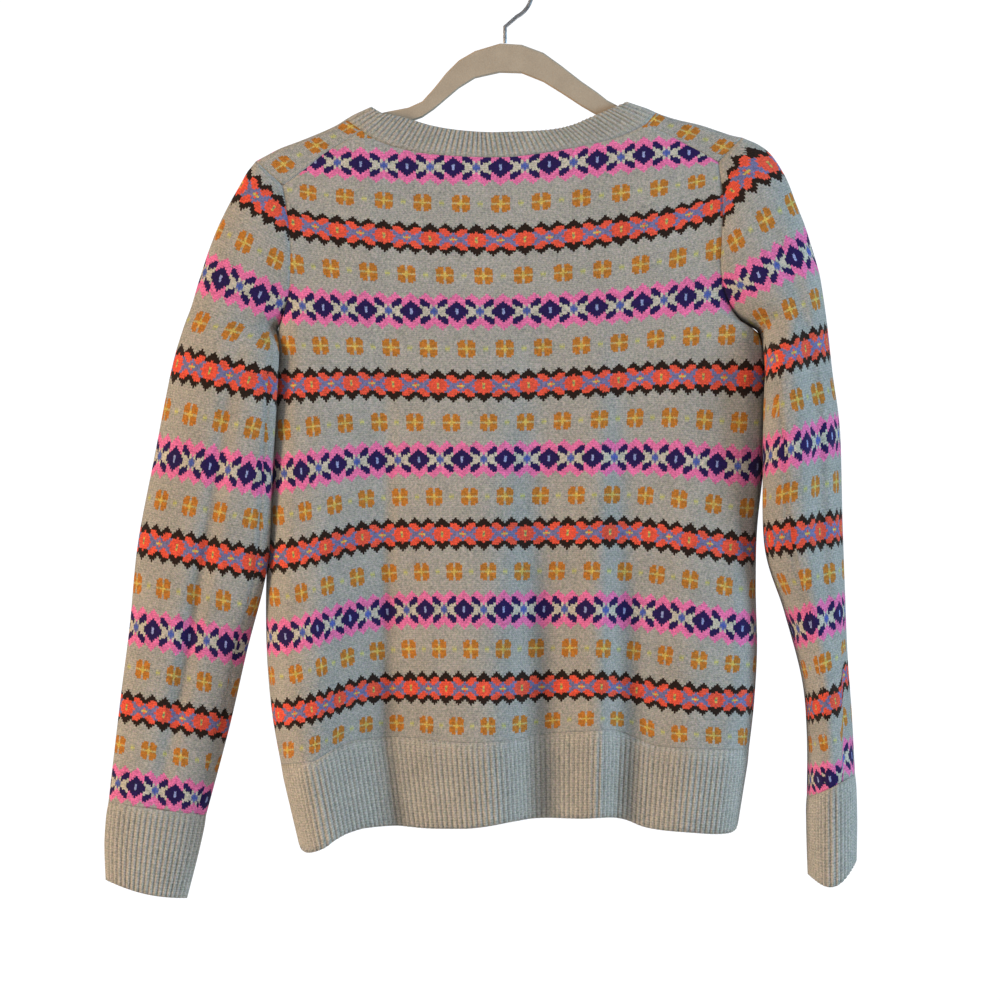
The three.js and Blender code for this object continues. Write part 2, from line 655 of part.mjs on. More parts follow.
// Plain cloth: outer and inner points of the same grid
function plainCloth(piece) {
  const outer = piece.points;
  const inner = outer.map((point, k) => {
    const inside = point.clone().addScaledVector(piece.normals[k], -PANEL_WALL);
    if (piece.side && point.z < ARMPIT_TOP) {
      inside.y = piece.side * Math.max(piece.side * inside.y, SEAM_GAP / 2);
    }
    return inside;
  });
  const list = [];
  for (const [a, b, c, d] of piece.quads) {
    const short = outer[a].distanceTo(outer[c]) <= outer[b].distanceTo(outer[d]);
    const halves = short ? [[a, b, c], [a, c, d]] : [[a, b, d], [b, c, d]];
    for (const [p, q, r] of halves) {
      triangle(list, outer[p], outer[q], outer[r]);
      triangle(list, inner[p], inner[r], inner[q]);
    }
  }
  for (const { a, b } of piece.rim) {
    triangle(list, outer[b], outer[a], inner[a]);
    triangle(list, outer[b], inner[a], inner[b]);
  }
  return meshFrom(piece.name, list, COLOURS.ground, 0.95, 0);
}

// Ribbed cloth: raised outer points over a plain inside with wider steps
function ribbedCloth(piece) {
  const across = piece.grids[0].rows[0].length;
  const down = piece.grids[0].rows.length;
  const flip = piece.grids[0].flip;
  const at = (j, i) => j * across + (i % across);
  const outer = piece.points.map((point, k) => {
    const raised = (k % across) % 2 === 1;
    return point.clone().addScaledVector(piece.normals[k], raised ? RIB_RISE : 0);
  });
  const inner = piece.points.map((point, k) => point.clone().addScaledVector(piece.normals[k], -RIB_WALL));
  const list = [];
  const put = (a, b, c) => (flip ? triangle(list, a, c, b) : triangle(list, a, b, c));
  const columns = piece.closed ? across : across - 1;
  const step = piece.innerStep || INNER_STEP;
  for (let j = 0; j < down - 1; j += 1) {
    for (let i = 0; i < columns; i += 1) {
      put(outer[at(j, i)], outer[at(j, i + 1)], outer[at(j + 1, i + 1)]);
      put(outer[at(j, i)], outer[at(j + 1, i + 1)], outer[at(j + 1, i)]);
    }
    for (let i = 0; i < columns; i += step) {
      put(inner[at(j, i)], inner[at(j + 1, i + step)], inner[at(j, i + step)]);
      put(inner[at(j, i)], inner[at(j + 1, i)], inner[at(j + 1, i + step)]);
    }
  }
  const edgeStrip = (j, turned) => {
    for (let i = 0; i < columns; i += step) {
      const half = Math.floor(step / 2);
      for (let n = 0; n < step; n += 1) {
        const foot = n < half ? inner[at(j, i)] : inner[at(j, i + step)];
        const pair = [outer[at(j, i + n)], outer[at(j, i + n + 1)]];
        if (turned) {
          put(pair[0], pair[1], foot);
        } else {
          put(pair[1], pair[0], foot);
        }
      }
      const middle = outer[at(j, i + half)];
      if (turned) {
        put(inner[at(j, i)], middle, inner[at(j, i + step)]);
      } else {
        put(inner[at(j, i)], inner[at(j, i + step)], middle);
      }
    }
  };
  edgeStrip(0, false);
  edgeStrip(down - 1, true);
  if (!piece.closed) {
    for (let j = 0; j < down - 1; j += 1) {
      const end = across - 1;
      put(outer[at(j, 0)], outer[at(j + 1, 0)], inner[at(j + 1, 0)]);
      put(outer[at(j, 0)], inner[at(j + 1, 0)], inner[at(j, 0)]);
      put(outer[j * across + end], inner[(j + 1) * across + end], outer[(j + 1) * across + end]);
      put(outer[j * across + end], inner[j * across + end], inner[(j + 1) * across + end]);
    }
  }
  return meshFrom(piece.name, list, COLOURS.rib, 0.95, 0);
}

// Solid swept through rings of points, with fans over both ends
function sweptSolid(name, rings, colour, roughness, metalness) {
  const list = [];
  const sides = rings[0].length;
  for (let k = 0; k < rings.length - 1; k += 1) {
    for (let i = 0; i < sides; i += 1) {
      const n = (i + 1) % sides;
      triangle(list, rings[k][i], rings[k][n], rings[k + 1][n]);
      triangle(list, rings[k][i], rings[k + 1][n], rings[k + 1][i]);
    }
  }
  const last = rings[rings.length - 1];
  for (let i = 1; i < sides - 1; i += 1) {
    triangle(list, rings[0][0], rings[0][i + 1], rings[0][i]);
    triangle(list, last[0], last[i], last[i + 1]);
  }
  return meshFrom(name, list, colour, roughness, metalness);
}

function hangerMesh() {
  const t = HANGER_HALF_THICKNESS;
  const b = HANGER_BEVEL;
  const rings = HANGER_ROWS.map(([x, top, bottom]) => [
    [-t, bottom + b], [-t, top - b], [-t + b, top], [t - b, top],
    [t, top - b], [t, bottom + b], [t - b, bottom], [-t + b, bottom],
  ].map(([y, z]) => new THREE.Vector3(x, y, z)));
  return sweptSolid('hanger', rings.map((ring) => ring.reverse()), COLOURS.hanger, 0.9, 0);
}

// Wire hook: a straight stem from the hanger's arch, then an open circle
function hookMesh() {
  const centre = -HOOK_INNER_RADIUS;
  const radius = HOOK_INNER_RADIUS + WIRE_RADIUS;
  const path = [];
  path.push(new THREE.Vector3(0, 0, HANGER_TOP + SEAM_GAP));
  path.push(new THREE.Vector3(0, 0, centre - radius - HOOK_STEM_SUNK));
  for (let k = 0; k <= HOOK_STEPS; k += 1) {
    const angle = lerp(-64, 190, k / HOOK_STEPS) * Math.PI / 180;
    path.push(new THREE.Vector3(radius * Math.cos(angle), 0, centre + radius * Math.sin(angle)));
  }
  const curve = new THREE.CatmullRomCurve3(path, false, 'centripetal');
  const frames = path.map((unused, k) => k / (path.length - 1));
  const rings = frames.map((at) => {
    const point = curve.getPoint(at);
    const tangent = at === 0 ? new THREE.Vector3(0, 0, 1) : curve.getTangent(at);
    const sideways = new THREE.Vector3(0, 1, 0);
    const other = tangent.clone().cross(sideways).normalize();
    const ring = [];
    for (let i = 0; i < WIRE_SIDES; i += 1) {
      const angle = i / WIRE_SIDES * Math.PI * 2;
      ring.push(point.clone().addScaledVector(sideways, WIRE_RADIUS * Math.cos(angle))
        .addScaledVector(other, WIRE_RADIUS * Math.sin(angle)));
    }
    return ring;
  });
  return sweptSolid('hanger_hook', rings, COLOURS.wire, 0.35, 0.9);
}

const backGrid = bodyGrid('back');
const frontGrid = bodyGrid('front');
const leftSleeveGrid = sleeveGrid('left');
const rightSleeveGrid = sleeveGrid('right');
const bottomOf = (grid) => grid[grid.length - 1];

const panels = [
  clothPiece('back_panel', [{ rows: backGrid, flip: true }], { side: -1 }),
  clothPiece('front_panel', [
    { rows: frontGrid, flip: false },
    { rows: strapGrid('left'), flip: false },
    { rows: strapGrid('right'), flip: false },
  ], { side: 1 }),
  clothPiece('sleeve_left', [{ rows: leftSleeveGrid, flip: false }], {}),
  clothPiece('sleeve_right', [{ rows: rightSleeveGrid, flip: true }], {}),
];
const ribs = [
  clothPiece('hem_rib_back', [{ rows: hemGrid('back', bottomOf(backGrid)), flip: true }], {}),
  clothPiece('hem_rib_front', [{ rows: hemGrid('front', bottomOf(frontGrid)), flip: false }], {}),
  clothPiece('cuff_left', [
    { rows: cuffGrid(CUFF_LEFT_ROWS, bottomOf(leftSleeveGrid)), flip: false },
  ], { closed: true }),
  clothPiece('cuff_right', [
    { rows: cuffGrid(CUFF_RIGHT_ROWS, bottomOf(rightSleeveGrid)), flip: true },
  ], { closed: true }),
  clothPiece('neckband', [
    { rows: neckGrid(backGrid, frontGrid), flip: true },
  ], { closed: true, innerStep: 1 }),
];
shareSeamDirections(panels, ribs);
[...panels, ...ribs].forEach(openSeams);

const jumper = new THREE.Group();
jumper.name = 'fair_isle_jumper';
panels.forEach((piece) => jumper.add(plainCloth(piece)));
ribs.forEach((piece) => jumper.add(ribbedCloth(piece)));
jumper.add(hangerMesh());
jumper.add(hookMesh());

export default jumper;
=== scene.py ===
import math

import bmesh
import bpy
import numpy as np
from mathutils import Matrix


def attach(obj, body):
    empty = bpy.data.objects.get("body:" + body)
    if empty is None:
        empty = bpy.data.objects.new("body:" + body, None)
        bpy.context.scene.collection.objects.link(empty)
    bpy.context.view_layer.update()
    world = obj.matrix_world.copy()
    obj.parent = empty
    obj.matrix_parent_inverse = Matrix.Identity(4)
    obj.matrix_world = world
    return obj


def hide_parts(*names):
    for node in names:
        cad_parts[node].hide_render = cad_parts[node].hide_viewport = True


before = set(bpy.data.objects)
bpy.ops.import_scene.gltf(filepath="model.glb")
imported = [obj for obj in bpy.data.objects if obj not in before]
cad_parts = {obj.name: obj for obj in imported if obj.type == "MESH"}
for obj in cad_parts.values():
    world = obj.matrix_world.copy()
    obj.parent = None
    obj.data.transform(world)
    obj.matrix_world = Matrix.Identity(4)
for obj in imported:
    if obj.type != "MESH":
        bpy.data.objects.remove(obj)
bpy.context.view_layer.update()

# Sizes in mm, as in the part's source
MM = 0.001
PANEL_WALL = 2.0
RIB_WALL = 1.6
RIB_RISE = 0.9
RIB_PITCH = 4.4
STITCH_WIDE = 2.07
STITCH_TALL = 1.55
FOLD_RADIUS = 6.2
SHOULDER_DEPTH = 8.0
NECK_FORWARD = 6.0
NECK_EDGE_DEPTH = 7.6
SEAM_TUCK = 0.9
SEAM_SPREAD = 2.2
SEAM_GROOVE = 1.2
SEAM_GROOVE_SPREAD = 1.3
CREASE_WIDTH = 7.0
SIDE_TURN = 6
FOLD_STEP_X = 269
FOLD_STEP_SPREAD = 1.2
HAIR = 0.01

# Columns and rows of the shells' grids
GRID_STEP = 3.0
SIDE_COLUMNS = 10
SLEEVE_COLUMNS = 96
STRAP_COLUMNS = 28
STRAP_ROWS = 32
HEM_ROWS = 14
CUFF_COLUMNS = 120
CUFF_ROWS = 14
NECKBAND_ROWS = 8
NECK_STEPS = 40
NECK_FOLD_STEPS = 24
RIB_STEPS = 8
RIB_TAPER_ROWS = 2.5

# Places down the body and sleeves, in rows of their sections
ARMPIT_ROW = 8
SEWN_ROWS = 2
CAP_END_ROW = 4
CAP_FADE_ROWS = 2
FOLD_STEP_ROW = 13.6
FOLD_STEP_FADE_ROWS = 0.6

# Column of the seam under the arm, at the armpit and further down
SEAM_COLUMNS = {"left": (9, 9), "right": (10, 18)}
SEAM_TURN_ROWS = 4

# Places and steps in the knitting, in wales and courses
STRAP_MIDDLE_SHARE = 0.55
STRAP_MIDDLE_WALE = 7.5
STRAP_MIDDLE_COURSE = -19
CAP_BOW = 5
FOLD_STEP_COURSES = 10
RIB_WALES = 2
RIB_ROW_COURSES = 2.5

# Shapes without a unit
NECK_FADE = 5
CREASE_FADE = 1.5
RIB_ROUNDNESS = 5

# Body sections, one for each step down: left x, left z, right x, right z, depth at the edge, behind and in
# front, width of the rounded side, how full its round is, share of the folds
LEFT_X, LEFT_Z, RIGHT_X, RIGHT_Z, EDGE, BACK, FRONT, ROUND = range(8)
BODY_ROWS = [
    (-178.5, -175, 171, -156.5, 8, 8, 8, 30, 0, 0),
    (-176, -190, 173.5, -174, 11, 10.5, 12, 30, 0, 0),
    (-173.5, -207.5, 174.5, -195.5, 15, 13, 15, 30, 0, 0),
    (-172, -227.5, 173.5, -219.5, 18, 15.5, 18, 30, 0, 0),
    (-172, -247.5, 173, -242, 19, 18, 20, 30, 0.1, 0),
    (-173.5, -265, 176, -261, 17, 20, 22, 28, 0.3, 0),
    (-177, -276.5, 181.5, -274, 13, 21, 23, 26, 0.5, 0),
    (-180, -286, 190.5, -285, 8, 21.5, 23.5, 24, 0.8, 0),
    (-182.5, -292.5, 204, -294, 0, 22, 24, 22, 1, 0.02),
    (-183, -323.5, 210, -319.5, 0, 23, 25, 22, 1, 0.12),
    (-185.5, -363.5, 210, -359.5, 0, 24.5, 26, 22, 1, 0.25),
    (-187.5, -403.5, 208, -399.5, 0, 26, 27, 22, 1, 0.4),
    (-190.5, -459.5, 202.5, -451.5, 0, 28, 29, 22, 1, 0.55),
    (-192, -507.5, 201.5, -499.5, 0, 30, 31, 22, 1, 0.7),
    (-191, -555.5, 202.5, -547.5, 0, 32, 32, 22, 1, 0.85),
    (-187, -599.5, 200, -591.5, 0, 33, 33, 22, 1, 0.95),
    (-180, -639, 196, -627, 0, 33, 33, 22, 1, 1),
]
HEM = {"left_x": -165, "right_x": 186.5, "back": 28, "front": 28, "round": 20}

# Seams and edges as seen from behind: x, z
RIDGE_LEFT = [
    (-200, -155.5), (-189.5, -149.8), (-180, -145), (-164, -139), (-148, -132.5), (-136, -127), (-128, -122),
]
RIDGE_RIGHT = [
    (190.5, -136.5), (183, -135), (175, -132.5), (157, -126.5), (139, -122.3), (128, -119), (121.5, -116.5),
]
SHOULDER_LEFT = [(-178.5, -175), (-169, -169), (-157.5, -160), (-146.5, -151), (-131, -141), (-115, -131)]
SHOULDER_RIGHT = [(171, -156.5), (157, -148.5), (142.5, -141), (128, -133), (113.5, -126)]
NECK_SEAM_BACK = [
    (-115, -131), (-107, -137), (-93.5, -143), (-72, -148.5), (-50.5, -151), (-24, -152.5),
    (3, -152.5), (29.5, -149.5), (56, -145), (83, -139), (101, -132.5), (113.5, -126),
]
NECK_SEAM_FRONT = [
    (-115, -131), (-111, -144.5), (-99, -164.5), (-76, -185), (-44, -199.5), (-1, -205),
    (42.5, -198), (76, -182), (98.5, -160.5), (109.5, -139.5), (113.5, -126),
]
NECK_EDGE_BACK = [
    (-97.5, -118), (-87, -119.5), (-73.5, -123), (-60, -127), (-44, -130), (-24, -132),
    (-6.5, -132.5), (32, -131), (52, -127.5), (68, -121), (87, -113),
]
NECK_EDGE_FRONT = [
    (-97.5, -118), (-93, -133), (-82, -151), (-62, -168), (-34, -180), (-1, -184.5),
    (32, -179), (60, -166), (79, -148), (87, -129), (87, -113),
]
NECK_PEAK_LEFT = (-107, -112.5)
NECK_PEAK_RIGHT = (97.5, -108.5)
RIB_LINE = [
    (-180, -639), (-152, -635.5), (-139, -627.5), (-124, -620.5), (-103, -618), (-81, -617.5),
    (-57, -619.5), (-37, -621), (-10.5, -620.5), (12, -618), (30.5, -614.5), (60, -612.5),
    (87, -611.5), (105, -618), (120, -624), (153, -626), (196, -627),
]
HEM_LINE = [
    (-165, -702), (-163, -706.5), (-159, -709), (-153, -708.5), (-143, -704.5), (-136, -699),
    (-127, -694), (-113.5, -690), (-88, -688.5), (-63, -690), (-43, -690), (-23, -689),
    (12, -683.5), (32, -682), (60, -682), (81.5, -681), (96, -683), (110.5, -688.5),
    (125, -691), (145.5, -692.5), (167, -694), (180, -693.5), (184.5, -691), (186.5, -686),
]

# Long hanging folds: x, rise
FOLDS = {
    "back": [
        (-194.5, 0), (-154.5, 14), (-128, 2), (-102, -12), (-93.5, -15.5), (-86, -10),
        (-60, 1), (-20, 12), (0, 8), (25, -11), (52, -1), (76, 10),
        (93.5, -4), (112, 0), (148, 12), (180, 7), (206, 0),
    ],
    "front": [
        (-194.5, 0), (-160, 7), (-118, -9), (-70, 8), (-38, 11), (-6, -8), (34, 6), (66, 9),
        (98, -10), (140, 8), (178, 6), (206, 0),
    ],
}

# Sleeve sections: outer x, outer z, inner x, inner z, half depth, crease x, crease, lean of the inner edge,
# width of a stitch, wale at the outer edge
OUT_X, OUT_Z, IN_X, IN_Z, HALF, CREASE_X, CREASE, LEAN, STITCH, FIRST_WALE = range(10)
SLEEVE_LEFT = [
    (-200, -155.5, -178.5, -175, 8, -190, 0, 0, 2, 8),
    (-206.5, -163.5, -176, -190, 12, -192, 0, 0, 2, 7.5),
    (-213, -175, -173.5, -207.5, 16, -195, 0, 0, 2, 7),
    (-221.5, -190, -172, -227.5, 19, -198, 0, 0, 1.95, 6),
    (-230.5, -208.5, -172, -247.5, 20.5, -200, 0, 0, 1.95, 5),
    (-238.5, -229, -173.5, -265, 21, -203, 0, 0, 1.95, 5),
    (-243, -243, -177, -276.5, 21, -205, 0.5, 0, 1.95, 5),
    (-247, -255.5, -180, -286, 21, -207, 1, 0, 1.95, 4.5),
    (-252, -272.5, -182.5, -292.5, 21, -209, 1, 0, 1.95, 4),
    (-259, -291.5, -180.8, -309, 21, -212, 1.5, 16, 1.95, 4),
    (-268, -323.5, -182, -340.5, 21, -218, 3, 20, 1.85, 3.5),
    (-281.5, -392.5, -186, -411.5, 20, -228, 4.5, 20, 1.75, 3),
    (-295, -463.5, -190, -480.5, 19.5, -240, 6, 18, 1.75, 3),
    (-301.5, -529, -207, -549, 19, -252, 6, 6, 1.75, 2.5),
    (-309.5, -592.5, -221.5, -611, 18.5, -264, 5, 0, 1.8, 2.5),
    (-318.5, -670, -240, -680.5, 17.5, -280, 2, 0, 1.8, 2.5),
]
SLEEVE_RIGHT = [
    (190.5, -136.5, 171, -156.5, 8, 182, 0, 0, 2.1, 3.5),
    (201.5, -141, 173.5, -174, 13, 186, 0, 0, 2.1, 3.5),
    (213.5, -150, 174.5, -195.5, 18, 192, 0, 0, 2.1, 3),
    (225.5, -168.5, 173.5, -219.5, 22, 200, 0, 0, 2.05, 3),
    (233.5, -188.5, 173, -242, 25, 210, 1, 0, 2, 2.5),
    (241, -207.5, 176, -261, 28, 218, 2, 0, 1.95, 2),
    (245.5, -222, 181.5, -274, 30, 225, 3, 0, 1.9, 1.5),
    (249.5, -235, 190.5, -285, 32, 230, 4, 0, 1.85, 1.5),
    (253.5, -251, 204, -294, 33, 235, 4.5, 0, 1.85, 1.5),
    (258.5, -285, 207.5, -318, 35, 240, 6.5, 24, 1.75, -0.5),
    (263, -325, 206.5, -357, 38, 245, 8, 26, 1.75, -0.5),
    (269, -371.5, 206, -396.5, 41, 249, 8, 26, 1.75, 0),
    (271, -442, 208, -466, 43, 252, 7, 14, 1.75, 0),
    (273, -499.5, 224, -517, 45, 257, 6, 4, 1.75, 0),
    (275, -551.5, 238.5, -571.5, 46, 264, 5, 0, 1.75, 0),
    (278.5, -599.5, 242.5, -616.5, 45, 268, 5, 0, 1.75, 2.5),
    (281, -647, 242.5, -665, 43, 269, 3, 0, 1.8, 7),
]
# Bands of the sleeves: course, height on the outer edge, height on the inner edge
SLEEVE_BANDS = {
    "left": [
        (28, -156.5, -181), (38, -174, -202.5), (57, -210, -242), (76, -244, -272), (95, -282.5, -302),
        (114, -317, -337), (152, -391.5, -411), (190, -459, -480), (228, -528.5, -546.5), (266, -592.5, -610),
        (304, -653.5, -668.5),
    ],
    "right": [
        (28, -141, -171.5), (38, -157, -194), (57, -187.5, -230.5), (76, -227.5, -263), (95, -264.5, -287),
        (114, -300, -317.5), (133, -338.5, -355.5), (152, -374, -394), (190, -450, -459),
        (228, -515.5, -532.5), (266, -583, -595.5), (304, -649, -651.5),
    ],
}
# Cuff sections: outer x, outer z, inner x, inner z, half depth, dip
CUFF_LEFT = [
    (-318.5, -670, -240, -680.5, 17.5, 0),
    (-321, -701, -247, -712, 15, 1.5),
    (-320, -732.5, -256, -747, 15, 3.5),
]
CUFF_RIGHT = [
    (281, -647, 242.5, -665, 43, 0),
    (282, -683.5, 243, -698, 37, 6),
    (281.5, -716, 244, -728, 36, 14),
]

# Height of a course across the panel: course, then z at each station
BAND_STATIONS = (-179, -148, -116, -84, -52, 0, 56, 92, 124, 156, 192)
BAND_HEIGHTS = [
    (0, -152.8, -156, -158.4, -160, -160.8, -160.8, -156.8, -152.8, -149.6, -148.8, -147.2),
    (38, -203.6, -209.2, -213.6, -216.8, -218.8, -219.6, -215.6, -210.8, -205.6, -195.6, -183.6),
    (76, -271.2, -273.6, -275.2, -276.4, -276.8, -276.8, -274.8, -272, -268, -264, -260),
    (114, -336.4, -334.8, -334, -335.2, -336.4, -336.4, -334, -331.6, -329.2, -328.8, -330.4),
    (152, -406.8, -402, -396.8, -395.6, -395.2, -394.8, -394, -393.6, -394, -397.6, -401.2),
    (190, -472.8, -466.4, -457.6, -455.2, -454.8, -454.4, -453.6, -453.2, -456, -461.2, -466.8),
    (228, -537.2, -529.2, -520, -516, -514.8, -514.8, -514.8, -515.9, -518.8, -524, -530.8),
    (266, -599.6, -592.8, -581.2, -578, -578, -578, -576.4, -577.6, -583.2, -586.8, -587.3),
    (293, -639.6, -633.2, -619.2, -617.6, -619.6, -619.6, -613.2, -613.2, -624.4, -626, -629.2),
]
# Where every eighteenth wale lies: course, then x of wales -117 to 117
WALE_NUMBERS = tuple(range(-117, 118, 18))
WALE_PLACES = [
    (38, -240, -204, -169.5, -134.5, -97, -60, -23, 16, 55, 93, 129.5, 165.5, 201.5, 237),
    (114, -212, -184, -154.5, -123, -89.5, -53.5, -17, 19, 55, 91, 125, 158.5, 192, 225.5),
    (266, -181.5, -153.5, -132, -105, -75, -47, -17, 13.5, 45, 77, 105, 135, 168, 198.5),
]

# Charts, read from the middle course outwards, and from the middle of a motif to half a repeat away.
# k black-brown, c coral, b periwinkle, y yellow, t teal, n navy, p pink, g cream, l light blue, u blue,
# o ochre, e straw, m lime, f faint lime
CORAL_CHART = [
    "tccccbbbyy", "ycccbbbbbc", "ccccbbccbb", "cccbbccccb", "ckkkcccckk", "kkkkccckkk", "kkk.kkkkk.",
    "kk...kkk..", "k.....k...",
]
PINK_CHART = [
    "lnnnnggguu", "lnnnngggbu", "nnnngggngb", "nnnpgnnngp", "nnppnnnnpp", "npppnnnppp", "ppppnnpppp",
    "ppp.ppppp.", "pp...ppp..", "p.....p...",
]
MEDALLION_CHART = ["yyee...m", "yooo...f", "eooo....", ".ooo....", ".oo....."]
YARNS = {
    "k": (36, 22, 16), "c": (226, 84, 62), "b": (112, 112, 156), "y": (200, 172, 88), "t": (118, 138, 96),
    "n": (34, 20, 78), "p": (224, 112, 164), "g": (188, 182, 168), "l": (142, 152, 200), "u": (72, 92, 168),
    "o": (180, 114, 44), "e": (182, 160, 110), "m": (182, 180, 112), "f": (168, 166, 138),
}
GROUND = (161, 158, 152)
RIB_GROUND = (174, 170, 162)


def mix(a, b, t):
    return a + (b - a) * t


def between(a, b, share):
    """Point between two points."""
    return tuple(mix(p, q, share) for p, q in zip(a, b))


def clamp(t):
    return min(1.0, max(0.0, t))


def linear(rgb):
    """Linear colour from a given colour."""
    out = [c / 255 / 12.92 if c <= 10 else ((c / 255 + 0.055) / 1.055) ** 2.4 for c in rgb]
    return (*out, 1.0)


def row_at(rows, at):
    """Smooth values between table rows."""
    last = len(rows) - 1
    k = min(last - 1, max(0, int(math.floor(at))))
    t = at - k
    p0, p1, p2, p3 = rows[max(0, k - 1)], rows[k], rows[k + 1], rows[min(last, k + 2)]
    t2, t3 = t * t, t * t * t
    return [
        (2 * t3 - 3 * t2 + 1) * b + (t3 - 2 * t2 + t) * (c - a) / 2
        + (3 * t2 - 2 * t3) * c + (t3 - t2) * (d - b) / 2
        for a, b, c, d in zip(p0, p1, p2, p3)
    ]


def place_in(stations, at):
    """Which stretch of rising stations holds a value, and its share of that stretch."""
    k = 0
    while k < len(stations) - 2 and stations[k + 1] < at:
        k += 1
    return k, (at - stations[k]) / (stations[k + 1] - stations[k])


def lengths_along(line):
    """Length from a line's start to each of its points."""
    lengths = [0.0]
    for a, b in zip(line, line[1:]):
        lengths.append(lengths[-1] + math.dist(a, b))
    return lengths


def edge_at(line, share):
    """Point at a share of an edge line's length."""
    lengths = lengths_along(line)
    k, part = place_in(lengths, clamp(share) * lengths[-1])
    return row_at(line, k + part)


def height_at(line, x):
    """Smooth height of a line at x."""
    k, part = place_in([point[0] for point in line], min(line[-1][0], max(line[0][0], x)))
    return row_at(line, k + clamp(part))[1]


LEFT_LENGTH = lengths_along(SHOULDER_LEFT)[-1]
NECK_LENGTH = lengths_along(NECK_SEAM_BACK)[-1]
RIGHT_LENGTH = lengths_along(SHOULDER_RIGHT)[-1]
TOP_LENGTH = LEFT_LENGTH + NECK_LENGTH + RIGHT_LENGTH
NECK_START = LEFT_LENGTH / TOP_LENGTH
NECK_END = 1 - RIGHT_LENGTH / TOP_LENGTH


def top_edge(u, neck_line):
    """Point on a body panel's upper edge: shoulder, neck seam, shoulder."""
    if u <= NECK_START:
        return edge_at(SHOULDER_LEFT, u / NECK_START)
    if u >= NECK_END:
        return edge_at(SHOULDER_RIGHT, (1 - u) / (1 - NECK_END))
    return edge_at(neck_line, (u - NECK_START) / (NECK_END - NECK_START))


def side_share(distance, round_width, full):
    """Share of a panel's depth at a distance in from its side."""
    t = clamp(distance / round_width)
    return mix(math.sin(t * math.pi / 2), math.sqrt(1 - (1 - t) ** 2), full)


def tuck(distance):
    """How far a sewn edge is drawn in."""
    return SEAM_TUCK * math.exp(-((distance / SEAM_SPREAD) ** 2))


def fold_over(ridge, seam, turn, depth):
    """Point on the fold over the hanger; turn is -1 behind, 0 on top, 1 in front."""
    reach = math.dist(ridge, seam)
    quarter = FOLD_RADIUS * math.pi / 2
    straight = math.hypot(reach - FOLD_RADIUS, depth - FOLD_RADIUS)
    path = abs(turn) * (quarter + straight)
    if path <= quarter:
        drop = FOLD_RADIUS * (1 - math.cos(path / FOLD_RADIUS))
        out = FOLD_RADIUS * math.sin(path / FOLD_RADIUS)
    else:
        t = (path - quarter) / straight
        drop, out = mix(FOLD_RADIUS, reach, t), mix(FOLD_RADIUS, depth, t)
    x, z = between(ridge, seam, drop / reach)
    return x, math.copysign(out, turn), z


def course_at(x, z):
    """Course of the body knitting at a place."""
    k, part = place_in(BAND_STATIONS, min(BAND_STATIONS[-1], max(BAND_STATIONS[0], x)))
    heights = [row_at([(v,) for v in row[1:]], k + part)[0] for row in BAND_HEIGHTS]
    n, part = place_in([-height for height in heights], -z)
    return mix(BAND_HEIGHTS[n][0], BAND_HEIGHTS[n + 1][0], part)


def sleeve_course(side, edge, z):
    """Course of a sleeve's knitting at a height on its outer (1) or inner (2) edge."""
    bands = SLEEVE_BANDS[side]
    k, part = place_in([-band[edge] for band in bands], -z)
    return mix(bands[k][0], bands[k + 1][0], part)


def wale_at(x, course):
    """Wale of the body knitting at x on a course."""
    n, part = place_in([row[0] for row in WALE_PLACES], course)
    places = between(WALE_PLACES[n][1:], WALE_PLACES[n + 1][1:], clamp(part))
    k, part = place_in(places, x)
    return mix(WALE_NUMBERS[k], WALE_NUMBERS[k + 1], part)


def cloth(name, points, knit, flip, wall, closed=False, relief=None, joint=None):
    """A shell of cloth from rows of outer points, with its knit as a UV map in wales and courses.

    relief raises the outer points. joint gives each row's seam column, and the numbers up to that column.
    """
    points = np.array(points, dtype=float)
    rows, columns = points.shape[0] - 1, points.shape[1] - 1
    if relief is not None:
        across = np.gradient(points, axis=1)
        if closed:
            across[:, 0] = across[:, -1] = (points[:, 1] - points[:, -2]) / 2
        down = np.gradient(points, axis=0)
        out = np.cross(across, down)
        out /= np.linalg.norm(out, axis=2, keepdims=True) + 1e-12
        points = points + out * (-1 if flip else 1) * np.array(relief)[:, :, None]
    bm = bmesh.new()
    bmesh.ops.create_grid(bm, x_segments=columns, y_segments=rows, size=1)
    places = {}
    for v in bm.verts:
        i = round((v.co.x + 1) / 2 * columns)
        j = round((1 - v.co.y) / 2 * rows)
        places[v.index] = (i, j)
    layer = bm.loops.layers.uv.new("knit")
    for face in bm.faces:
        first, top = (min(places[v.index][n] for v in face.verts) for n in (0, 1))
        numbers = joint[1] if joint and first < joint[0][top] else knit
        for loop in face.loops:
            i, j = places[loop.vert.index]
            loop[layer].uv = numbers[j][i]
    for v in bm.verts:
        i, j = places[v.index]
        v.co = points[j][i] * MM
    if closed:
        bmesh.ops.remove_doubles(bm, verts=bm.verts, dist=1e-6)
    if not flip:
        bmesh.ops.reverse_faces(bm, faces=bm.faces)
    mesh = bpy.data.meshes.new(name)
    bm.to_mesh(mesh)
    bm.free()
    for polygon in mesh.polygons:
        polygon.use_smooth = True
    piece = bpy.data.objects.new(name, mesh)
    bpy.context.collection.objects.link(piece)
    wall_maker = piece.modifiers.new("wall", "SOLIDIFY")
    wall_maker.thickness = wall * MM
    wall_maker.offset = -1
    wall_maker.use_even_offset = False
    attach(piece, "root")
    return piece


def side_places(width, round_width):
    """Column places of a body panel: close together on the rounded sides."""
    turn = round_width / width
    side = [turn * (1 - math.cos(k / SIDE_COLUMNS * math.pi / 2)) for k in range(SIDE_COLUMNS)]
    count = int((1 - 2 * turn) * width / GRID_STEP)
    middle = [mix(turn, 1 - turn, k / count) for k in range(count + 1)]
    return side + middle + [1 - place for place in reversed(side)]


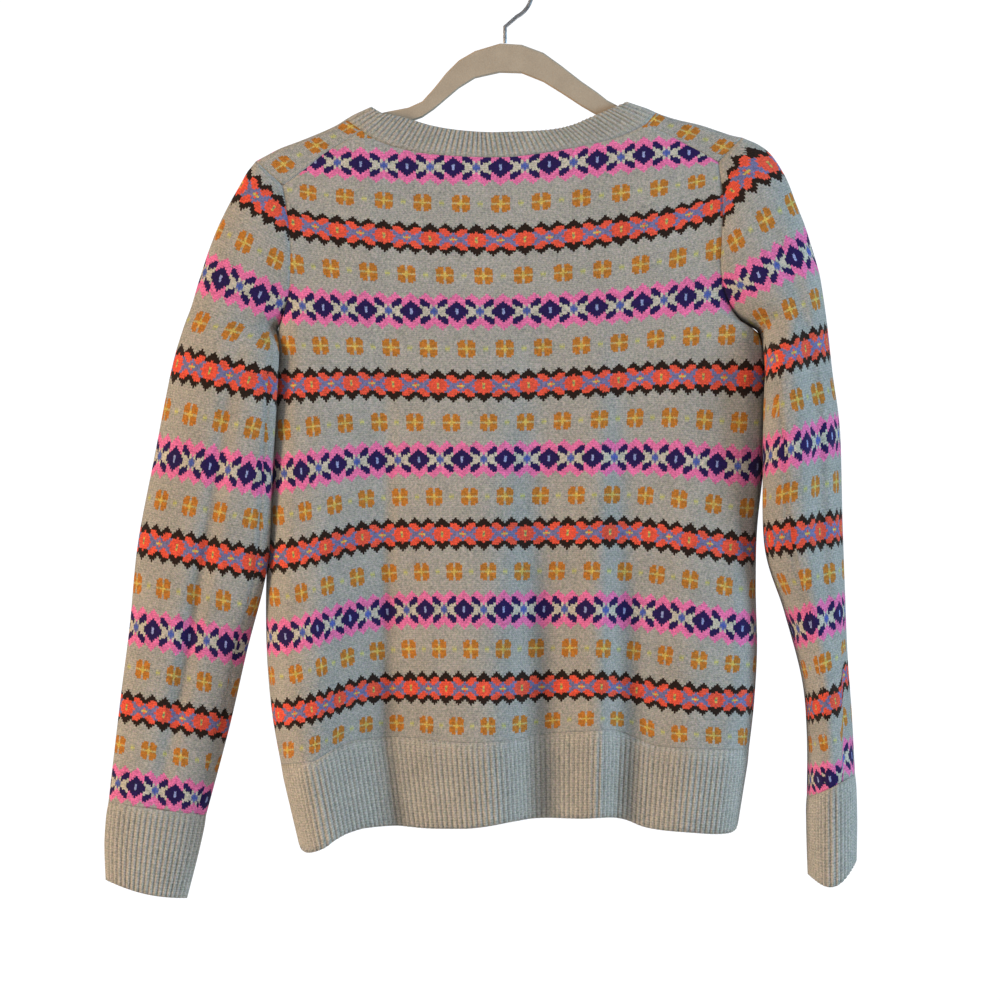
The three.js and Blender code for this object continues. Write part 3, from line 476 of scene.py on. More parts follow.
def row_places(rows):
    """Row places, about one grid step apart down the left edge."""
    places = []
    for k in range(len(rows) - 1):
        length = math.dist(rows[k][:2], rows[k + 1][:2])
        count = max(2, round(length / GRID_STEP))
        places += [k + n / count for n in range(count)]
    return places + [len(rows) - 1]


PANEL_TOP = BODY_ROWS[0]
PANEL_END = BODY_ROWS[-1]
PANEL_WIDTH = PANEL_END[RIGHT_X] - PANEL_END[LEFT_X]
PANEL_PLACES = side_places(PANEL_WIDTH, PANEL_END[ROUND])


def round_side(line, knit, first, step, way):
    """Number the wales by the cloth's own width where it turns round the side."""
    at = first
    while 0 <= at + step < len(line):
        at += step
        width = math.dist(line[at][:2], line[at - step][:2])
        knit[at] = (knit[at - step][0] + way * width / STITCH_WIDE, knit[at][1])


def body_panel(name, face):
    """Back or front panel: the sections give its sides and depth, the edge lines its top and bottom."""
    sign = -1 if face == "back" else 1
    neck_line = NECK_SEAM_BACK if face == "back" else NECK_SEAM_FRONT
    tops = [top_edge(u, neck_line) for u in PANEL_PLACES]
    bottoms = []
    for u in PANEL_PLACES:
        x = mix(PANEL_END[LEFT_X], PANEL_END[RIGHT_X], u)
        bottoms.append((x, height_at(RIB_LINE, x)))
    top_z = PANEL_TOP[LEFT_Z] + PANEL_TOP[RIGHT_Z]
    end_z = PANEL_END[LEFT_Z] + PANEL_END[RIGHT_Z]
    points, knit = [], []
    for row in row_places(BODY_ROWS):
        left_x, left_z, right_x, right_z, edge, back, front, round_width, full, fold = row_at(BODY_ROWS, row)
        if row >= ARMPIT_ROW:
            edge, full = 0.0, 1.0
        mid = back if face == "back" else front
        drop = (top_z - left_z - right_z) / (top_z - end_z)
        line, line_knit = [], []
        for u, top, bottom in zip(PANEL_PLACES, tops, bottoms):
            plain_top = between(PANEL_TOP[LEFT_X:LEFT_Z + 1], PANEL_TOP[RIGHT_X:RIGHT_Z + 1], u)
            plain_end = between(PANEL_END[LEFT_X:LEFT_Z + 1], PANEL_END[RIGHT_X:RIGHT_Z + 1], u)
            x = mix(top[0], bottom[0], drop) + mix(left_x, right_x, u) - mix(plain_top[0], plain_end[0], drop)
            z = mix(top[1], bottom[1], drop) + mix(left_z, right_z, u) - mix(plain_top[1], plain_end[1], drop)
            inward = min(u, 1 - u) * (right_x - left_x)
            folds = height_at(FOLDS[face], x) * fold
            depth = edge + (mid + folds - edge) * side_share(inward, round_width, full)
            if face == "front":
                neck_share = clamp((u - NECK_START) / (NECK_END - NECK_START))
                depth += NECK_FORWARD * math.sin(math.pi * neck_share) * clamp(1 - NECK_FADE * drop)
            if row < ARMPIT_ROW:
                depth -= tuck(inward) * clamp(ARMPIT_ROW - row)
            course = course_at(x, z)
            line.append((x, sign * depth, z))
            line_knit.append((wale_at(x, course), course))
        flat = [k for k, u in enumerate(PANEL_PLACES) if min(u, 1 - u) * (right_x - left_x) >= SIDE_TURN]
        round_side(line, line_knit, flat[0], -1, -1)
        round_side(line, line_knit, flat[-1], 1, 1)
        points.append(line)
        knit.append(line_knit)
    return cloth(name, points, knit, face == "back", PANEL_WALL)


def shoulder_strap(name, side):
    """The front panel's shoulder, carried over the hanger to the seam behind."""
    ridge_line = RIDGE_LEFT if side == "left" else RIDGE_RIGHT
    seam_line = SHOULDER_LEFT if side == "left" else SHOULDER_RIGHT
    length = lengths_along(ridge_line)[-1]
    quarter = FOLD_RADIUS * math.pi / 2
    shares = [k / STRAP_COLUMNS for k in range(STRAP_COLUMNS + 1)]
    if side == "right":
        shares.reverse()
    points, knit = [], []
    for k in range(STRAP_ROWS + 1):
        turn = 2 * k / STRAP_ROWS - 1
        line, line_knit = [], []
        for share in shares:
            ridge, seam = edge_at(ridge_line, share), edge_at(seam_line, share)
            reach = math.dist(ridge, seam)
            whole = quarter + math.hypot(reach - FOLD_RADIUS, SHOULDER_DEPTH - FOLD_RADIUS)
            middle = quarter + reach / 2 - FOLD_RADIUS
            line.append(fold_over(ridge, seam, turn, SHOULDER_DEPTH))
            course = STRAP_MIDDLE_COURSE + (turn * whole + middle) / STITCH_TALL
            wale = (share - STRAP_MIDDLE_SHARE) * length / STITCH_WIDE + STRAP_MIDDLE_WALE
            line_knit.append((wale if side == "left" else -wale, course))
        points.append(line)
        knit.append(line_knit)
    return cloth(name, points, knit, False, PANEL_WALL)


def sleeve_ring(section, seam_depth, share):
    """Point on a sleeve's ring, which starts and ends on the inner edge and goes round behind first."""
    out_x, out_z, in_x, in_z, half_depth = section[:CREASE_X]
    reach = math.hypot(in_x - out_x, in_z - out_z)
    bend = math.sqrt(max(0, 1 - (seam_depth / half_depth) ** 2))
    half = reach / (1 + bend)
    end = math.acos(-bend)
    angle = mix(-end, end, share)
    along = half * (1 - math.cos(angle))
    x, z = mix(out_x, in_x, along / reach), mix(out_z, in_z, along / reach)
    y = half_depth * math.sin(angle)
    if y < 0:
        off = (x - section[CREASE_X]) / CREASE_WIDTH
        y += section[CREASE] * math.exp(-off * off) * clamp(-y / half_depth * CREASE_FADE)
    return x, y - section[LEAN] * along / reach, z


def sewn_section(rows, side, row):
    """Section of a sleeve above the armpit, with its inner edge on the body's, and the depth of that edge."""
    section, body = row_at(rows, row), row_at(BODY_ROWS, row)
    section[IN_X:IN_Z + 1] = body[LEFT_X:LEFT_Z + 1] if side == "left" else body[RIGHT_X:RIGHT_Z + 1]
    section[HALF] = max(section[HALF], body[EDGE] + HAIR)
    section[LEAN] = 0.0
    return section, body[EDGE]


def sleeve_knit(side, row, section, line, lengths):
    """Wale and course of each point of a sleeve's ring, and the numbers that carry on past its seam."""
    turn = 1 if side == "right" else -1
    middle = lengths[SLEEVE_COLUMNS // 2]
    outer_course = sleeve_course(side, 1, section[OUT_Z])
    inner_course = sleeve_course(side, 2, section[IN_Z])
    numbers, past_seam = [], []
    for (x, y, z), length in zip(line, lengths):
        across = clamp((x - section[OUT_X]) / (section[IN_X] - section[OUT_X]))
        course = mix(outer_course, inner_course, across)
        if side == "right":
            bow = 4 * across * (1 - across)
            course += CAP_BOW * clamp((CAP_END_ROW - row) / CAP_FADE_ROWS) * bow
        if side == "right" and y < 0:
            lift = clamp((row - FOLD_STEP_ROW) / FOLD_STEP_FADE_ROWS)
            course += FOLD_STEP_COURSES * lift * clamp((x - FOLD_STEP_X) / FOLD_STEP_SPREAD + 0.5)
        wale = turn * ((middle - length) / section[STITCH] + section[FIRST_WALE])
        numbers.append((wale, course))
        past_seam.append((wale - turn * lengths[-1] / section[STITCH], course))
    return numbers, past_seam


def sleeve(name, side):
    """A sleeve, with the pattern broken at its seam under the arm."""
    rows = SLEEVE_LEFT if side == "left" else SLEEVE_RIGHT
    ridge = (RIDGE_LEFT if side == "left" else RIDGE_RIGHT)[0]
    seam = (SHOULDER_LEFT if side == "left" else SHOULDER_RIGHT)[0]
    shares = [k / SLEEVE_COLUMNS for k in range(SLEEVE_COLUMNS + 1)]
    at_top = [fold_over(ridge, seam, 2 * share - 1, SHOULDER_DEPTH) for share in shares]
    second = sewn_section(rows, side, 1)
    below_top = [sleeve_ring(*second, share) for share in shares]
    points, knit, knit_past_seam, relief, seam_columns = [], [], [], [], []
    for row in row_places(rows):
        section, seam_depth = row_at(rows, row), 0.0
        if row < ARMPIT_ROW:
            section, seam_depth = sewn_section(rows, side, row)
        line = [sleeve_ring(section, seam_depth, share) for share in shares]
        if row < 1:
            line = [between(a, b, row) for a, b in zip(at_top, below_top)]
        lengths = lengths_along(line)
        if row < ARMPIT_ROW:
            pulls = [tuck(min(length, lengths[-1] - length)) * clamp(ARMPIT_ROW - row) for length in lengths]
            line = [(x, y - math.copysign(pull, y), z) for (x, y, z), pull in zip(line, pulls)]
        numbers, past_seam = sleeve_knit(side, row, section, line, lengths)
        column = round(mix(*SEAM_COLUMNS[side], clamp((row - ARMPIT_ROW) / SEAM_TURN_ROWS)))
        groove = -SEAM_GROOVE * clamp((row - ARMPIT_ROW) / SEWN_ROWS)
        off_seam = [(length - lengths[column]) / SEAM_GROOVE_SPREAD for length in lengths]
        relief.append([groove * math.exp(-off ** 2) for off in off_seam])
        seam_columns.append(column)
        points.append(line)
        knit.append(numbers)
        knit_past_seam.append(past_seam if row >= ARMPIT_ROW else numbers)
    joint = (seam_columns, knit_past_seam)
    return cloth(name, points, knit, side == "right", PANEL_WALL, relief=relief, joint=joint)


def evenly(points, count):
    """Places evenly spaced along a line of points, as row numbers."""
    lengths = lengths_along(points)
    places = []
    for n in range(count + 1):
        k, part = place_in(lengths, lengths[-1] * n / count)
        places.append(k + clamp(part))
    return places


def at_place(points, place):
    k = min(len(points) - 2, int(place))
    return between(points[k], points[k + 1], place - k)


def rib_relief(count, rows):
    """Broad rounded ribs with narrow grooves between them, rising from a flat seam."""
    turns = [math.pi * n / RIB_STEPS for n in range(count + 1)]
    line = [RIB_RISE * (1 - abs(math.cos(turn)) ** RIB_ROUNDNESS) for turn in turns]
    return [[value * min(1, j / RIB_TAPER_ROWS) for value in line] for j in range(rows + 1)]


def ribbed(name, top, lower, rows, flip, closed):
    """Ribbed strip between its seam and its free edge; lower gives points for a share of the way down."""
    ribs = round(lengths_along(top)[-1] / RIB_PITCH)
    count = ribs * RIB_STEPS
    places = evenly(top, count)
    points, knit = [], []
    for j in range(rows + 1):
        points.append([lower(place, j / rows) for place in places])
        knit.append([(n / RIB_STEPS * RIB_WALES, j * RIB_ROW_COURSES) for n in range(count + 1)])
    return cloth(name, points, knit, flip, RIB_WALL, closed, rib_relief(count, rows))


def straight_down(top, bottom):
    """Points on straight lines from one edge to the other."""
    return lambda place, share: between(at_place(top, place), at_place(bottom, place), share)


def hem_rib(name, face):
    """Hem of one panel, from the panel's lower edge to the free edge."""
    sign = -1 if face == "back" else 1
    hem_width = HEM["right_x"] - HEM["left_x"]
    depth = PANEL_END[BACK if face == "back" else FRONT]
    top, bottom = [], []
    for u in PANEL_PLACES:
        inward = min(u, 1 - u)
        x = mix(PANEL_END[LEFT_X], PANEL_END[RIGHT_X], u)
        folds = height_at(FOLDS[face], x)
        share = side_share(inward * PANEL_WIDTH, PANEL_END[ROUND], 1)
        top.append((x, sign * (depth + folds) * share, height_at(RIB_LINE, x)))
        low_x = mix(HEM["left_x"], HEM["right_x"], u)
        share = side_share(inward * hem_width, HEM["round"], 1)
        bottom.append((low_x, sign * (HEM[face] + folds) * share, height_at(HEM_LINE, low_x)))
    return ribbed(name, top, straight_down(top, bottom), HEM_ROWS, face == "back", False)


def cuff(name, rows, flip):
    """Cuff: rings at its seam, middle and free edge, joined smoothly, each dipping towards its middle."""
    shares = [k / CUFF_COLUMNS for k in range(CUFF_COLUMNS + 1)]
    rings = []
    for *section, dip in rows:
        ring = [sleeve_ring((*section, 0, 0, 0), 0, share) for share in shares]
        across = [clamp((x - section[OUT_X]) / (section[IN_X] - section[OUT_X])) for x, y, z in ring]
        rings.append([(x, y, z - dip * math.sin(math.pi * a)) for (x, y, z), a in zip(ring, across)])
    columns = list(zip(*rings))

    def lower(place, share):
        k = min(len(shares) - 2, int(place))
        at = share * (len(rows) - 1)
        return between(row_at(columns[k], at), row_at(columns[k + 1], at), place - k)

    return ribbed(name, rings[0], lower, CUFF_ROWS, flip, True)


def neck_ring():
    """Seam and free edge of the neckband, from the left neck point round the back."""
    seam, edge = [], []
    for k in range(NECK_STEPS):
        share = k / NECK_STEPS
        a, b = edge_at(NECK_SEAM_BACK, share), edge_at(NECK_EDGE_BACK, share)
        seam.append((a[0], -SHOULDER_DEPTH, a[1]))
        edge.append((b[0], -NECK_EDGE_DEPTH, b[1]))
    for k in range(NECK_FOLD_STEPS):
        turn = 2 * k / NECK_FOLD_STEPS - 1
        seam.append(fold_over(RIDGE_RIGHT[-1], SHOULDER_RIGHT[-1], turn, SHOULDER_DEPTH))
        edge.append(fold_over(NECK_PEAK_RIGHT, NECK_EDGE_BACK[-1], turn, NECK_EDGE_DEPTH))
    for k in range(NECK_STEPS):
        share = 1 - k / NECK_STEPS
        a, b = edge_at(NECK_SEAM_FRONT, share), edge_at(NECK_EDGE_FRONT, share)
        bow = NECK_FORWARD * math.sin(math.pi * share)
        seam.append((a[0], SHOULDER_DEPTH + bow, a[1]))
        edge.append((b[0], NECK_EDGE_DEPTH + bow, b[1]))
    for k in range(NECK_FOLD_STEPS):
        turn = 1 - 2 * k / NECK_FOLD_STEPS
        seam.append(fold_over(RIDGE_LEFT[-1], SHOULDER_LEFT[-1], turn, SHOULDER_DEPTH))
        edge.append(fold_over(NECK_PEAK_LEFT, NECK_EDGE_BACK[0], turn, NECK_EDGE_DEPTH))
    return seam + seam[:1], edge + edge[:1]


def neckband(name):
    seam, edge = neck_ring()
    return ribbed(name, seam, straight_down(seam, edge), NECKBAND_ROWS, False, True)


# Materials

BAND_COURSES = 19
BAND_KINDS = 4
PINK_BAND = 0
CORAL_BAND = 2
LOWER_MEDALLIONS = 3
HALF_REPEAT = 9
MEDALLION_HALF_REPEAT = 7.5
MEDALLION_SHIFT = 7
MEDALLION_NUDGE = 0.01
HALF_STITCH = 0.5
WHOLE_MATCH = 0.5
MID_GREY = (0.5, 0.5, 0.5, 1)
STITCH_SLANT = 0.9
STITCH_SETTLE = 0.22
STITCH_LOW = 0.35
YARN_FRAY_SCALE = 700
YARN_FRAY = 1.1
FIBRE_SCALE = 620
FIBRE_DETAIL = 4
FIBRE_HARSHNESS = 0.7
FIBRE_TINT_LOSS = 0.72
CLOUD_SCALE = 34
CLOUD_DEPTH = 0.22
# Painted shade: how much darker the colour is painted where a stitch's yarn lies low
HOLLOW_PAINTED_SHADE = 0.44
# Painted shade in the rib grooves: how much darker the grooves are painted
RIB_GROOVE_PAINTED_SHADE = 0.4
RIB_GROOVE_SHARPNESS = 4
KNIT_SURFACE = {
    "Specular IOR Level": 0.12,
    "Sheen Weight": 0.06,
    "Sheen Roughness": 0.5,
    "Sheen Tint": (1, 0.97, 0.92, 1),
}
FLOCK_DARK = (128, 112, 95)
FLOCK_PALE = (172, 158, 140)
FLOCK_SCALE = 1500
FLOCK_WEAR_SCALE = 60
FLOCK_FIBRE_SHARE = 0.6
FLOCK_WEAR_SHARE = 0.4
WIRE_DARK = (176, 178, 182)
WIRE_PALE = (214, 216, 220)
WIRE_SCUFF_SCALE = 240
WIRE_SCUFF_DETAIL = 4


def group_of(name, inputs, outputs):
    """A node group with named inputs and outputs."""
    tree = bpy.data.node_groups.new(name, "ShaderNodeTree")
    for kind, label in inputs:
        tree.interface.new_socket(name=label, in_out="INPUT", socket_type=kind)
    for kind, label in outputs:
        tree.interface.new_socket(name=label, in_out="OUTPUT", socket_type=kind)
    return tree, tree.nodes.new("NodeGroupInput"), tree.nodes.new("NodeGroupOutput")


def feed(tree, value, socket):
    """Set a socket to a constant, or link an output to it."""
    if isinstance(value, (int, float, tuple)):
        socket.default_value = value
    else:
        tree.links.new(value, socket)


def feed_all(tree, node, values):
    for label, value in values.items():
        feed(tree, value, node.inputs[label])


def use_group(tree, group, **values):
    node = tree.nodes.new("ShaderNodeGroup")
    node.node_tree = group
    feed_all(tree, node, values)
    return node


def maths(tree, operation, *values):
    node = tree.nodes.new("ShaderNodeMath")
    node.operation = operation
    for value, socket in zip(values, node.inputs):
        feed(tree, value, socket)
    return node.outputs[0]


def blend_colours(tree, factor, a, b, how="MIX"):
    node = tree.nodes.new("ShaderNodeMix")
    node.data_type = "RGBA"
    node.blend_type = how
    for value, socket in zip((factor, a, b), (node.inputs[0], node.inputs[6], node.inputs[7])):
        feed(tree, value, socket)
    return node.outputs[2]


def noise(tree, scale, detail=2, harshness=0.5):
    """Noise in the piece's own space."""
    place = tree.nodes.new("ShaderNodeTexCoord")
    node = tree.nodes.new("ShaderNodeTexNoise")
    feed_all(tree, node, {"Vector": place.outputs["Object"], "Scale": scale, "Detail": detail})
    feed(tree, harshness, node.inputs["Roughness"])
    return node


def spread(tree, value, size):
    """A noise value centred on nothing and made this large."""
    return maths(tree, "MULTIPLY", maths(tree, "SUBTRACT", value, 0.5), size)


def grow(tree, start, value, size):
    """A start with a share of a value added."""
    return maths(tree, "ADD", start, maths(tree, "MULTIPLY", value, size))


def bump_normal(tree, height, strength, distance):
    bump = tree.nodes.new("ShaderNodeBump")
    feed_all(tree, bump, {"Strength": strength, "Distance": distance, "Height": height})
    return bump.outputs["Normal"]


def chart_row(tree, letters, wale, ground):
    """One course of a chart: a strip of yarn colours, and whether it is pattern or ground."""
    strip = tree.nodes.new("ShaderNodeValToRGB")
    strip.color_ramp.interpolation = "CONSTANT"
    stops = [(k, letter) for k, letter in enumerate(letters) if k == 0 or letters[k - 1] != letter]
    elements = strip.color_ramp.elements
    while len(elements) > 1:
        elements.remove(elements[-1])
    for n, (k, letter) in enumerate(stops):
        stop = elements[0] if n == 0 else elements.new(k / len(letters))
        stop.position = k / len(letters)
        stop.color = (0, 0, 0, 0) if letter == "." else linear(YARNS[letter])
    at = maths(tree, "DIVIDE", maths(tree, "ADD", wale, HALF_STITCH), len(letters))
    feed(tree, at, strip.inputs[0])
    return blend_colours(tree, strip.outputs[1], ground, strip.outputs[0])


def fair_isle_chart():
    """Colour of the fair isle knitting at a wale and a course."""
    tree, given, made = group_of(
        "fair isle chart",
        [("NodeSocketFloat", "Wale"), ("NodeSocketFloat", "Course"), ("NodeSocketColor", "Ground")],
        [("NodeSocketColor", "Colour")],
    )
    wale = maths(tree, "ROUND", given.outputs["Wale"])
    course = maths(tree, "ROUND", given.outputs["Course"])
    band = maths(tree, "ROUND", maths(tree, "DIVIDE", course, BAND_COURSES))
    off = maths(tree, "SUBTRACT", course, maths(tree, "MULTIPLY", band, BAND_COURSES))
    off = maths(tree, "ABSOLUTE", off)
    kind = maths(tree, "FLOORED_MODULO", band, BAND_KINDS)

    def from_motif(shift, half_repeat):
        """Wales from the middle of the nearest motif."""
        shifted = maths(tree, "ADD", wale, shift)
        return maths(tree, "ABSOLUTE", maths(tree, "WRAP", shifted, half_repeat, -half_repeat))

    lower = maths(tree, "COMPARE", kind, LOWER_MEDALLIONS, WHOLE_MATCH)
    medallion_wale = from_motif(maths(tree, "MULTIPLY", lower, MEDALLION_SHIFT), MEDALLION_HALF_REPEAT)
    medallion_wale = maths(tree, "FLOOR", maths(tree, "ADD", medallion_wale, MEDALLION_NUDGE))
    pink = maths(tree, "COMPARE", kind, PINK_BAND, WHOLE_MATCH)
    coral = maths(tree, "COMPARE", kind, CORAL_BAND, WHOLE_MATCH)
    sets = (
        (PINK_CHART, from_motif(0, HALF_REPEAT), pink),
        (CORAL_CHART, from_motif(HALF_REPEAT, HALF_REPEAT), coral),
        (MEDALLION_CHART, medallion_wale, maths(tree, "FLOORED_MODULO", kind, 2)),
    )
    ground = given.outputs["Ground"]
    colour = ground
    for chart, along, used in sets:
        for n, letters in enumerate(chart):
            here = maths(tree, "MULTIPLY", used, maths(tree, "COMPARE", off, n, WHOLE_MATCH))
            colour = blend_colours(tree, here, colour, chart_row(tree, letters, along, ground))
    feed(tree, colour, made.inputs["Colour"])
    return tree


def off_whole(tree, value):
    """How far a value is from the nearest whole number."""
    return maths(tree, "SUBTRACT", value, maths(tree, "ROUND", value))


def arch(tree, value):
    """One in the middle, falling to nothing at -1 and 1."""
    return maths(tree, "SUBTRACT", 1, maths(tree, "POWER", maths(tree, "ABSOLUTE", value), 2))


def stitch_shape():
    """Knit stitches: the course read along a V, and how high the yarn stands."""
    tree, given, made = group_of(
        "stocking stitch",
        [("NodeSocketFloat", "Wale"), ("NodeSocketFloat", "Course")],
        [("NodeSocketFloat", "Course"), ("NodeSocketFloat", "Height")],
    )
    aside = maths(tree, "ABSOLUTE", off_whole(tree, given.outputs["Wale"]))
    slanted = grow(tree, given.outputs["Course"], aside, STITCH_SLANT)
    slanted = maths(tree, "SUBTRACT", slanted, STITCH_SETTLE)
    leg = arch(tree, maths(tree, "SUBTRACT", maths(tree, "MULTIPLY", aside, 4), 1))
    along = arch(tree, maths(tree, "MULTIPLY", off_whole(tree, slanted), 2))
    height = maths(tree, "MULTIPLY", leg, grow(tree, STITCH_LOW, along, 1 - STITCH_LOW))
    feed_all(tree, made, {"Course": slanted, "Height": height})
    return tree


def woollen_colour_and_hollow_shade():
    """Heather yarn: fibres of lighter and darker shades in one colour, with painted shade darkening it where
    the stitch's yarn lies low.
    """
    tree, given, made = group_of(
        "heather yarn and painted hollow shade",
        [("NodeSocketColor", "Colour"), ("NodeSocketFloat", "Height"), ("NodeSocketFloat", "Strength")],
        [("NodeSocketColor", "Colour"), ("NodeSocketFloat", "Roughness")],
    )
    fibre = noise(tree, FIBRE_SCALE, FIBRE_DETAIL, FIBRE_HARSHNESS)
    cloud = spread(tree, noise(tree, CLOUD_SCALE).outputs["Fac"], CLOUD_DEPTH)
    speck = spread(tree, fibre.outputs["Fac"], given.outputs["Strength"])
    # Painted shade in the hollows of the stitches, darker as the yarn's height falls
    painted_hollow_shade = maths(tree, "MULTIPLY", maths(tree, "SUBTRACT", given.outputs["Height"], 1), HOLLOW_PAINTED_SHADE)
    value = maths(tree, "ADD", maths(tree, "ADD", maths(tree, "ADD", 1, speck), cloud), painted_hollow_shade)
    tint = blend_colours(tree, FIBRE_TINT_LOSS, fibre.outputs["Color"], MID_GREY)
    shade = tree.nodes.new("ShaderNodeHueSaturation")
    tinted = blend_colours(tree, 1, given.outputs["Colour"], tint, "OVERLAY")
    feed_all(tree, shade, {"Color": tinted, "Value": value})
    rough = grow(tree, start=0.88, value=speck, size=0.3)
    feed_all(tree, made, {"Colour": shade.outputs["Color"], "Roughness": rough})
    return tree


CHART = fair_isle_chart()
STITCHES = stitch_shape()
YARN_AND_HOLLOW_SHADE = woollen_colour_and_hollow_shade()


def new_material(name):
    material = bpy.data.materials.new(name)
    material.use_nodes = True
    tree = material.node_tree
    return material, tree, tree.nodes["Principled BSDF"]


def knit_material(name, patterned, strength):
    """Knitting, with the fair isle chart or as a plain rib; strength is how mixed the yarn's shades are."""
    material, tree, shader = new_material(name)
    uv = tree.nodes.new("ShaderNodeUVMap")
    uv.uv_map = "knit"
    parts = tree.nodes.new("ShaderNodeSeparateXYZ")
    feed(tree, uv.outputs[0], parts.inputs[0])
    wale, course = parts.outputs[0], parts.outputs[1]
    stitches = use_group(tree, STITCHES, Wale=wale, Course=course)
    height = stitches.outputs["Height"]
    if patterned:
        fray = tree.nodes.new("ShaderNodeSeparateColor")
        feed(tree, noise(tree, YARN_FRAY_SCALE).outputs["Color"], fray.inputs[0])
        wale = maths(tree, "ADD", wale, spread(tree, fray.outputs[0], YARN_FRAY))
        course = maths(tree, "ADD", stitches.outputs["Course"], spread(tree, fray.outputs[1], YARN_FRAY))
        chart = use_group(tree, CHART, Wale=wale, Course=course, Ground=linear(GROUND))
        colour = chart.outputs["Colour"]
    else:
        # Painted shade in the rib grooves: the groove lowers only the height that darkens the colour, not the
        # bump
        groove = maths(tree, "ABSOLUTE", maths(tree, "COSINE", maths(tree, "MULTIPLY", wale, math.pi / 2)))
        groove = maths(tree, "POWER", groove, RIB_GROOVE_SHARPNESS)
        height = grow(tree, height, groove, -RIB_GROOVE_PAINTED_SHADE)
        colour = linear(RIB_GROUND)
    yarn = use_group(tree, YARN_AND_HOLLOW_SHADE, Colour=colour, Height=height, Strength=strength)
    normal = bump_normal(tree, stitches.outputs["Height"], strength=0.55, distance=0.0006)
    feed_all(tree, shader, {"Base Color": yarn.outputs["Colour"], "Roughness": yarn.outputs["Roughness"]})
    feed_all(tree, shader, {"Normal": normal, **KNIT_SURFACE})
    return material


def flock_material():
    material, tree, shader = new_material("beige flock")
    fibre = noise(tree, FLOCK_SCALE).outputs["Fac"]
    wear = noise(tree, FLOCK_WEAR_SCALE).outputs["Fac"]
    fibre_part = maths(tree, "MULTIPLY", fibre, FLOCK_FIBRE_SHARE)
    amount = grow(tree, start=fibre_part, value=wear, size=FLOCK_WEAR_SHARE)
    feed_all(tree, shader, {
        "Base Color": blend_colours(tree, amount, linear(FLOCK_DARK), linear(FLOCK_PALE)),
        "Roughness": grow(tree, start=0.85, value=fibre, size=0.1),
        "Normal": bump_normal(tree, fibre, strength=0.4, distance=0.0003),
        "Sheen Weight": 0.35,
        "Sheen Roughness": 0.4,
    })
    return material


def wire_material():
    material, tree, shader = new_material("polished wire")
    scuff = noise(tree, WIRE_SCUFF_SCALE, WIRE_SCUFF_DETAIL).outputs["Fac"]
    feed_all(tree, shader, {
        "Base Color": blend_colours(tree, scuff, linear(WIRE_DARK), linear(WIRE_PALE)),
        "Roughness": grow(tree, start=0.18, value=scuff, size=0.22),
        "Metallic": 1.0,
    })
    return material


def floor_material():
    material, tree, shader = new_material("pale floor")
    feed_all(tree, shader, {"Base Color": (0.85, 0.85, 0.85, 1), "Roughness": 0.9})
    return material


# The jumper

fair_isle = knit_material("fair isle knit", patterned=True, strength=1.6)
plain_rib = knit_material("heather rib knit", patterned=False, strength=1.4)
flock = flock_material()
wire = wire_material()

back = body_panel("Back_Panel", "back")
front = body_panel("Front_Panel", "front")
strap_left = shoulder_strap("Front_Shoulder_Left", "left")
strap_right = shoulder_strap("Front_Shoulder_Right", "right")
sleeve_left = sleeve("Sleeve_Left", "left")
sleeve_right = sleeve("Sleeve_Right", "right")
band = neckband("Neckband")
hem_back = hem_rib("Hem_Rib_Back", "back")
hem_front = hem_rib("Hem_Rib_Front", "front")
cuff_left = cuff("Cuff_Left", CUFF_LEFT, False)
cuff_right = cuff("Cuff_Right", CUFF_RIGHT, True)

for piece in (back, front, strap_left, strap_right, sleeve_left, sleeve_right):
    piece.data.materials.append(fair_isle)
for piece in (band, hem_back, hem_front, cuff_left, cuff_right):
    piece.data.materials.append(plain_rib)

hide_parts("back_panel")
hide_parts("front_panel")
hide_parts("front_panel")
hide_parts("front_panel")
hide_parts("sleeve_left")
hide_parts("sleeve_right")
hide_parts("neckband")
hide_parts("hem_rib_back")
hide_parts("hem_rib_front")
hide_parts("cuff_left")
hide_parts("cuff_right")

for node, material in (("hanger", flock), ("hanger_hook", wire)):
    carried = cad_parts[node]
    carried.data.materials.clear()
    carried.data.materials.append(material)

# Floor, light and camera, in metres

FLOOR_RADIUS = 1.5
FLOOR_HEIGHT = -1.2
FLOOR_SIDES = 96
MIDDLE = (0, 0, -0.42)
SKY_LIGHT = 0.18
SKY_SEEN = 0.92
SENSOR_WIDTH = 36
CAMERA_PLACE = (-0.004, -5.0, -0.4276)
VIEW_DISTANCE = 4.98
VIEW_WIDTH = 0.8

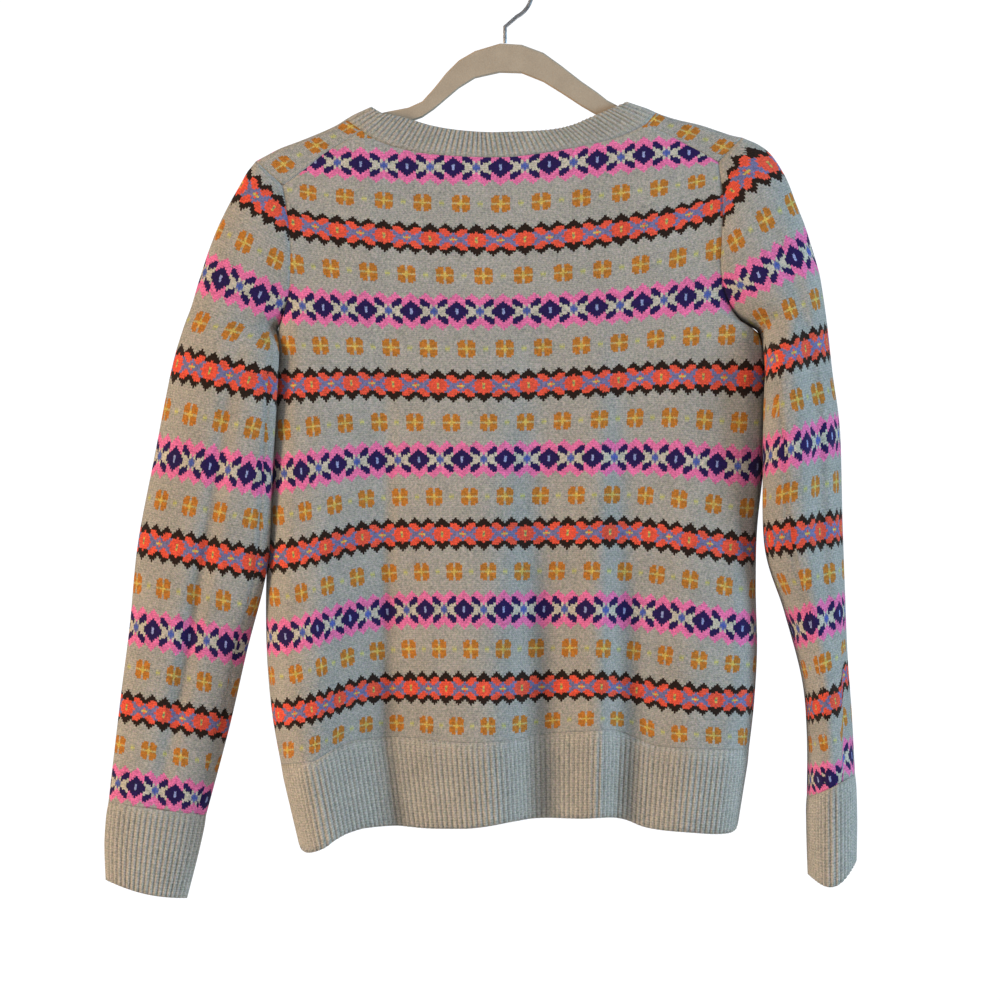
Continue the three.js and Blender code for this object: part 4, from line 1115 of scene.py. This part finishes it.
bm = bmesh.new()
bmesh.ops.create_circle(bm, cap_ends=True, segments=FLOOR_SIDES, radius=FLOOR_RADIUS)
for v in bm.verts:
    v.co.z = FLOOR_HEIGHT
mesh = bpy.data.meshes.new("floor")
bm.to_mesh(mesh)
bm.free()
floor = bpy.data.objects.new("floor", mesh)
floor.data.materials.append(floor_material())
bpy.context.collection.objects.link(floor)


def area_light(name, place, size, power, colour):
    """A broad soft lamp, turned to the middle of the jumper."""
    light = bpy.data.lights.new(name, "AREA")
    light.shape = "RECTANGLE"
    light.size, light.size_y = size
    light.energy = power
    light.color = colour
    lamp = bpy.data.objects.new(name, light)
    lamp.location = place
    away = [a - b for a, b in zip(place, MIDDLE)]
    flat = math.hypot(away[0], away[1])
    lamp.rotation_euler = (math.atan2(flat, away[2]), 0, math.atan2(away[0], -away[1]))
    bpy.context.collection.objects.link(lamp)


area_light("warm lamp left", (-2.9, -1.3, 0.1), (0.9, 1.3), 122, (1.0, 0.75, 0.5))
area_light("cool window right", (2.9, -1.2, 0.1), (0.9, 1.3), 104, (0.5, 0.78, 1.0))
area_light("overhead", (0.3, -1.6, 2.0), (1.4, 1.0), 30, (1.0, 0.98, 0.94))
area_light("far side", (0.6, 2.8, 1.5), (1.8, 1.2), 70, (1.0, 0.98, 0.95))

world = bpy.data.worlds.new("studio")
bpy.context.scene.world = world
world.use_nodes = True
sky = world.node_tree
background = sky.nodes["Background"]
background.inputs["Color"].default_value = (0.96, 0.97, 1.0, 1)
seen = sky.nodes.new("ShaderNodeLightPath")
feed(sky, grow(sky, SKY_LIGHT, seen.outputs["Is Camera Ray"], SKY_SEEN), background.inputs["Strength"])

camera_data = bpy.data.cameras.new("camera")
camera_data.sensor_width = SENSOR_WIDTH
camera_data.lens = SENSOR_WIDTH * VIEW_DISTANCE / VIEW_WIDTH
camera_data.clip_end = 100
camera = bpy.data.objects.new("camera", camera_data)
camera.location = CAMERA_PLACE
camera.rotation_euler = (math.pi / 2, 0, 0)
bpy.context.collection.objects.link(camera)
bpy.context.scene.camera = camera
bpy.context.scene.view_settings.view_transform = "Standard"
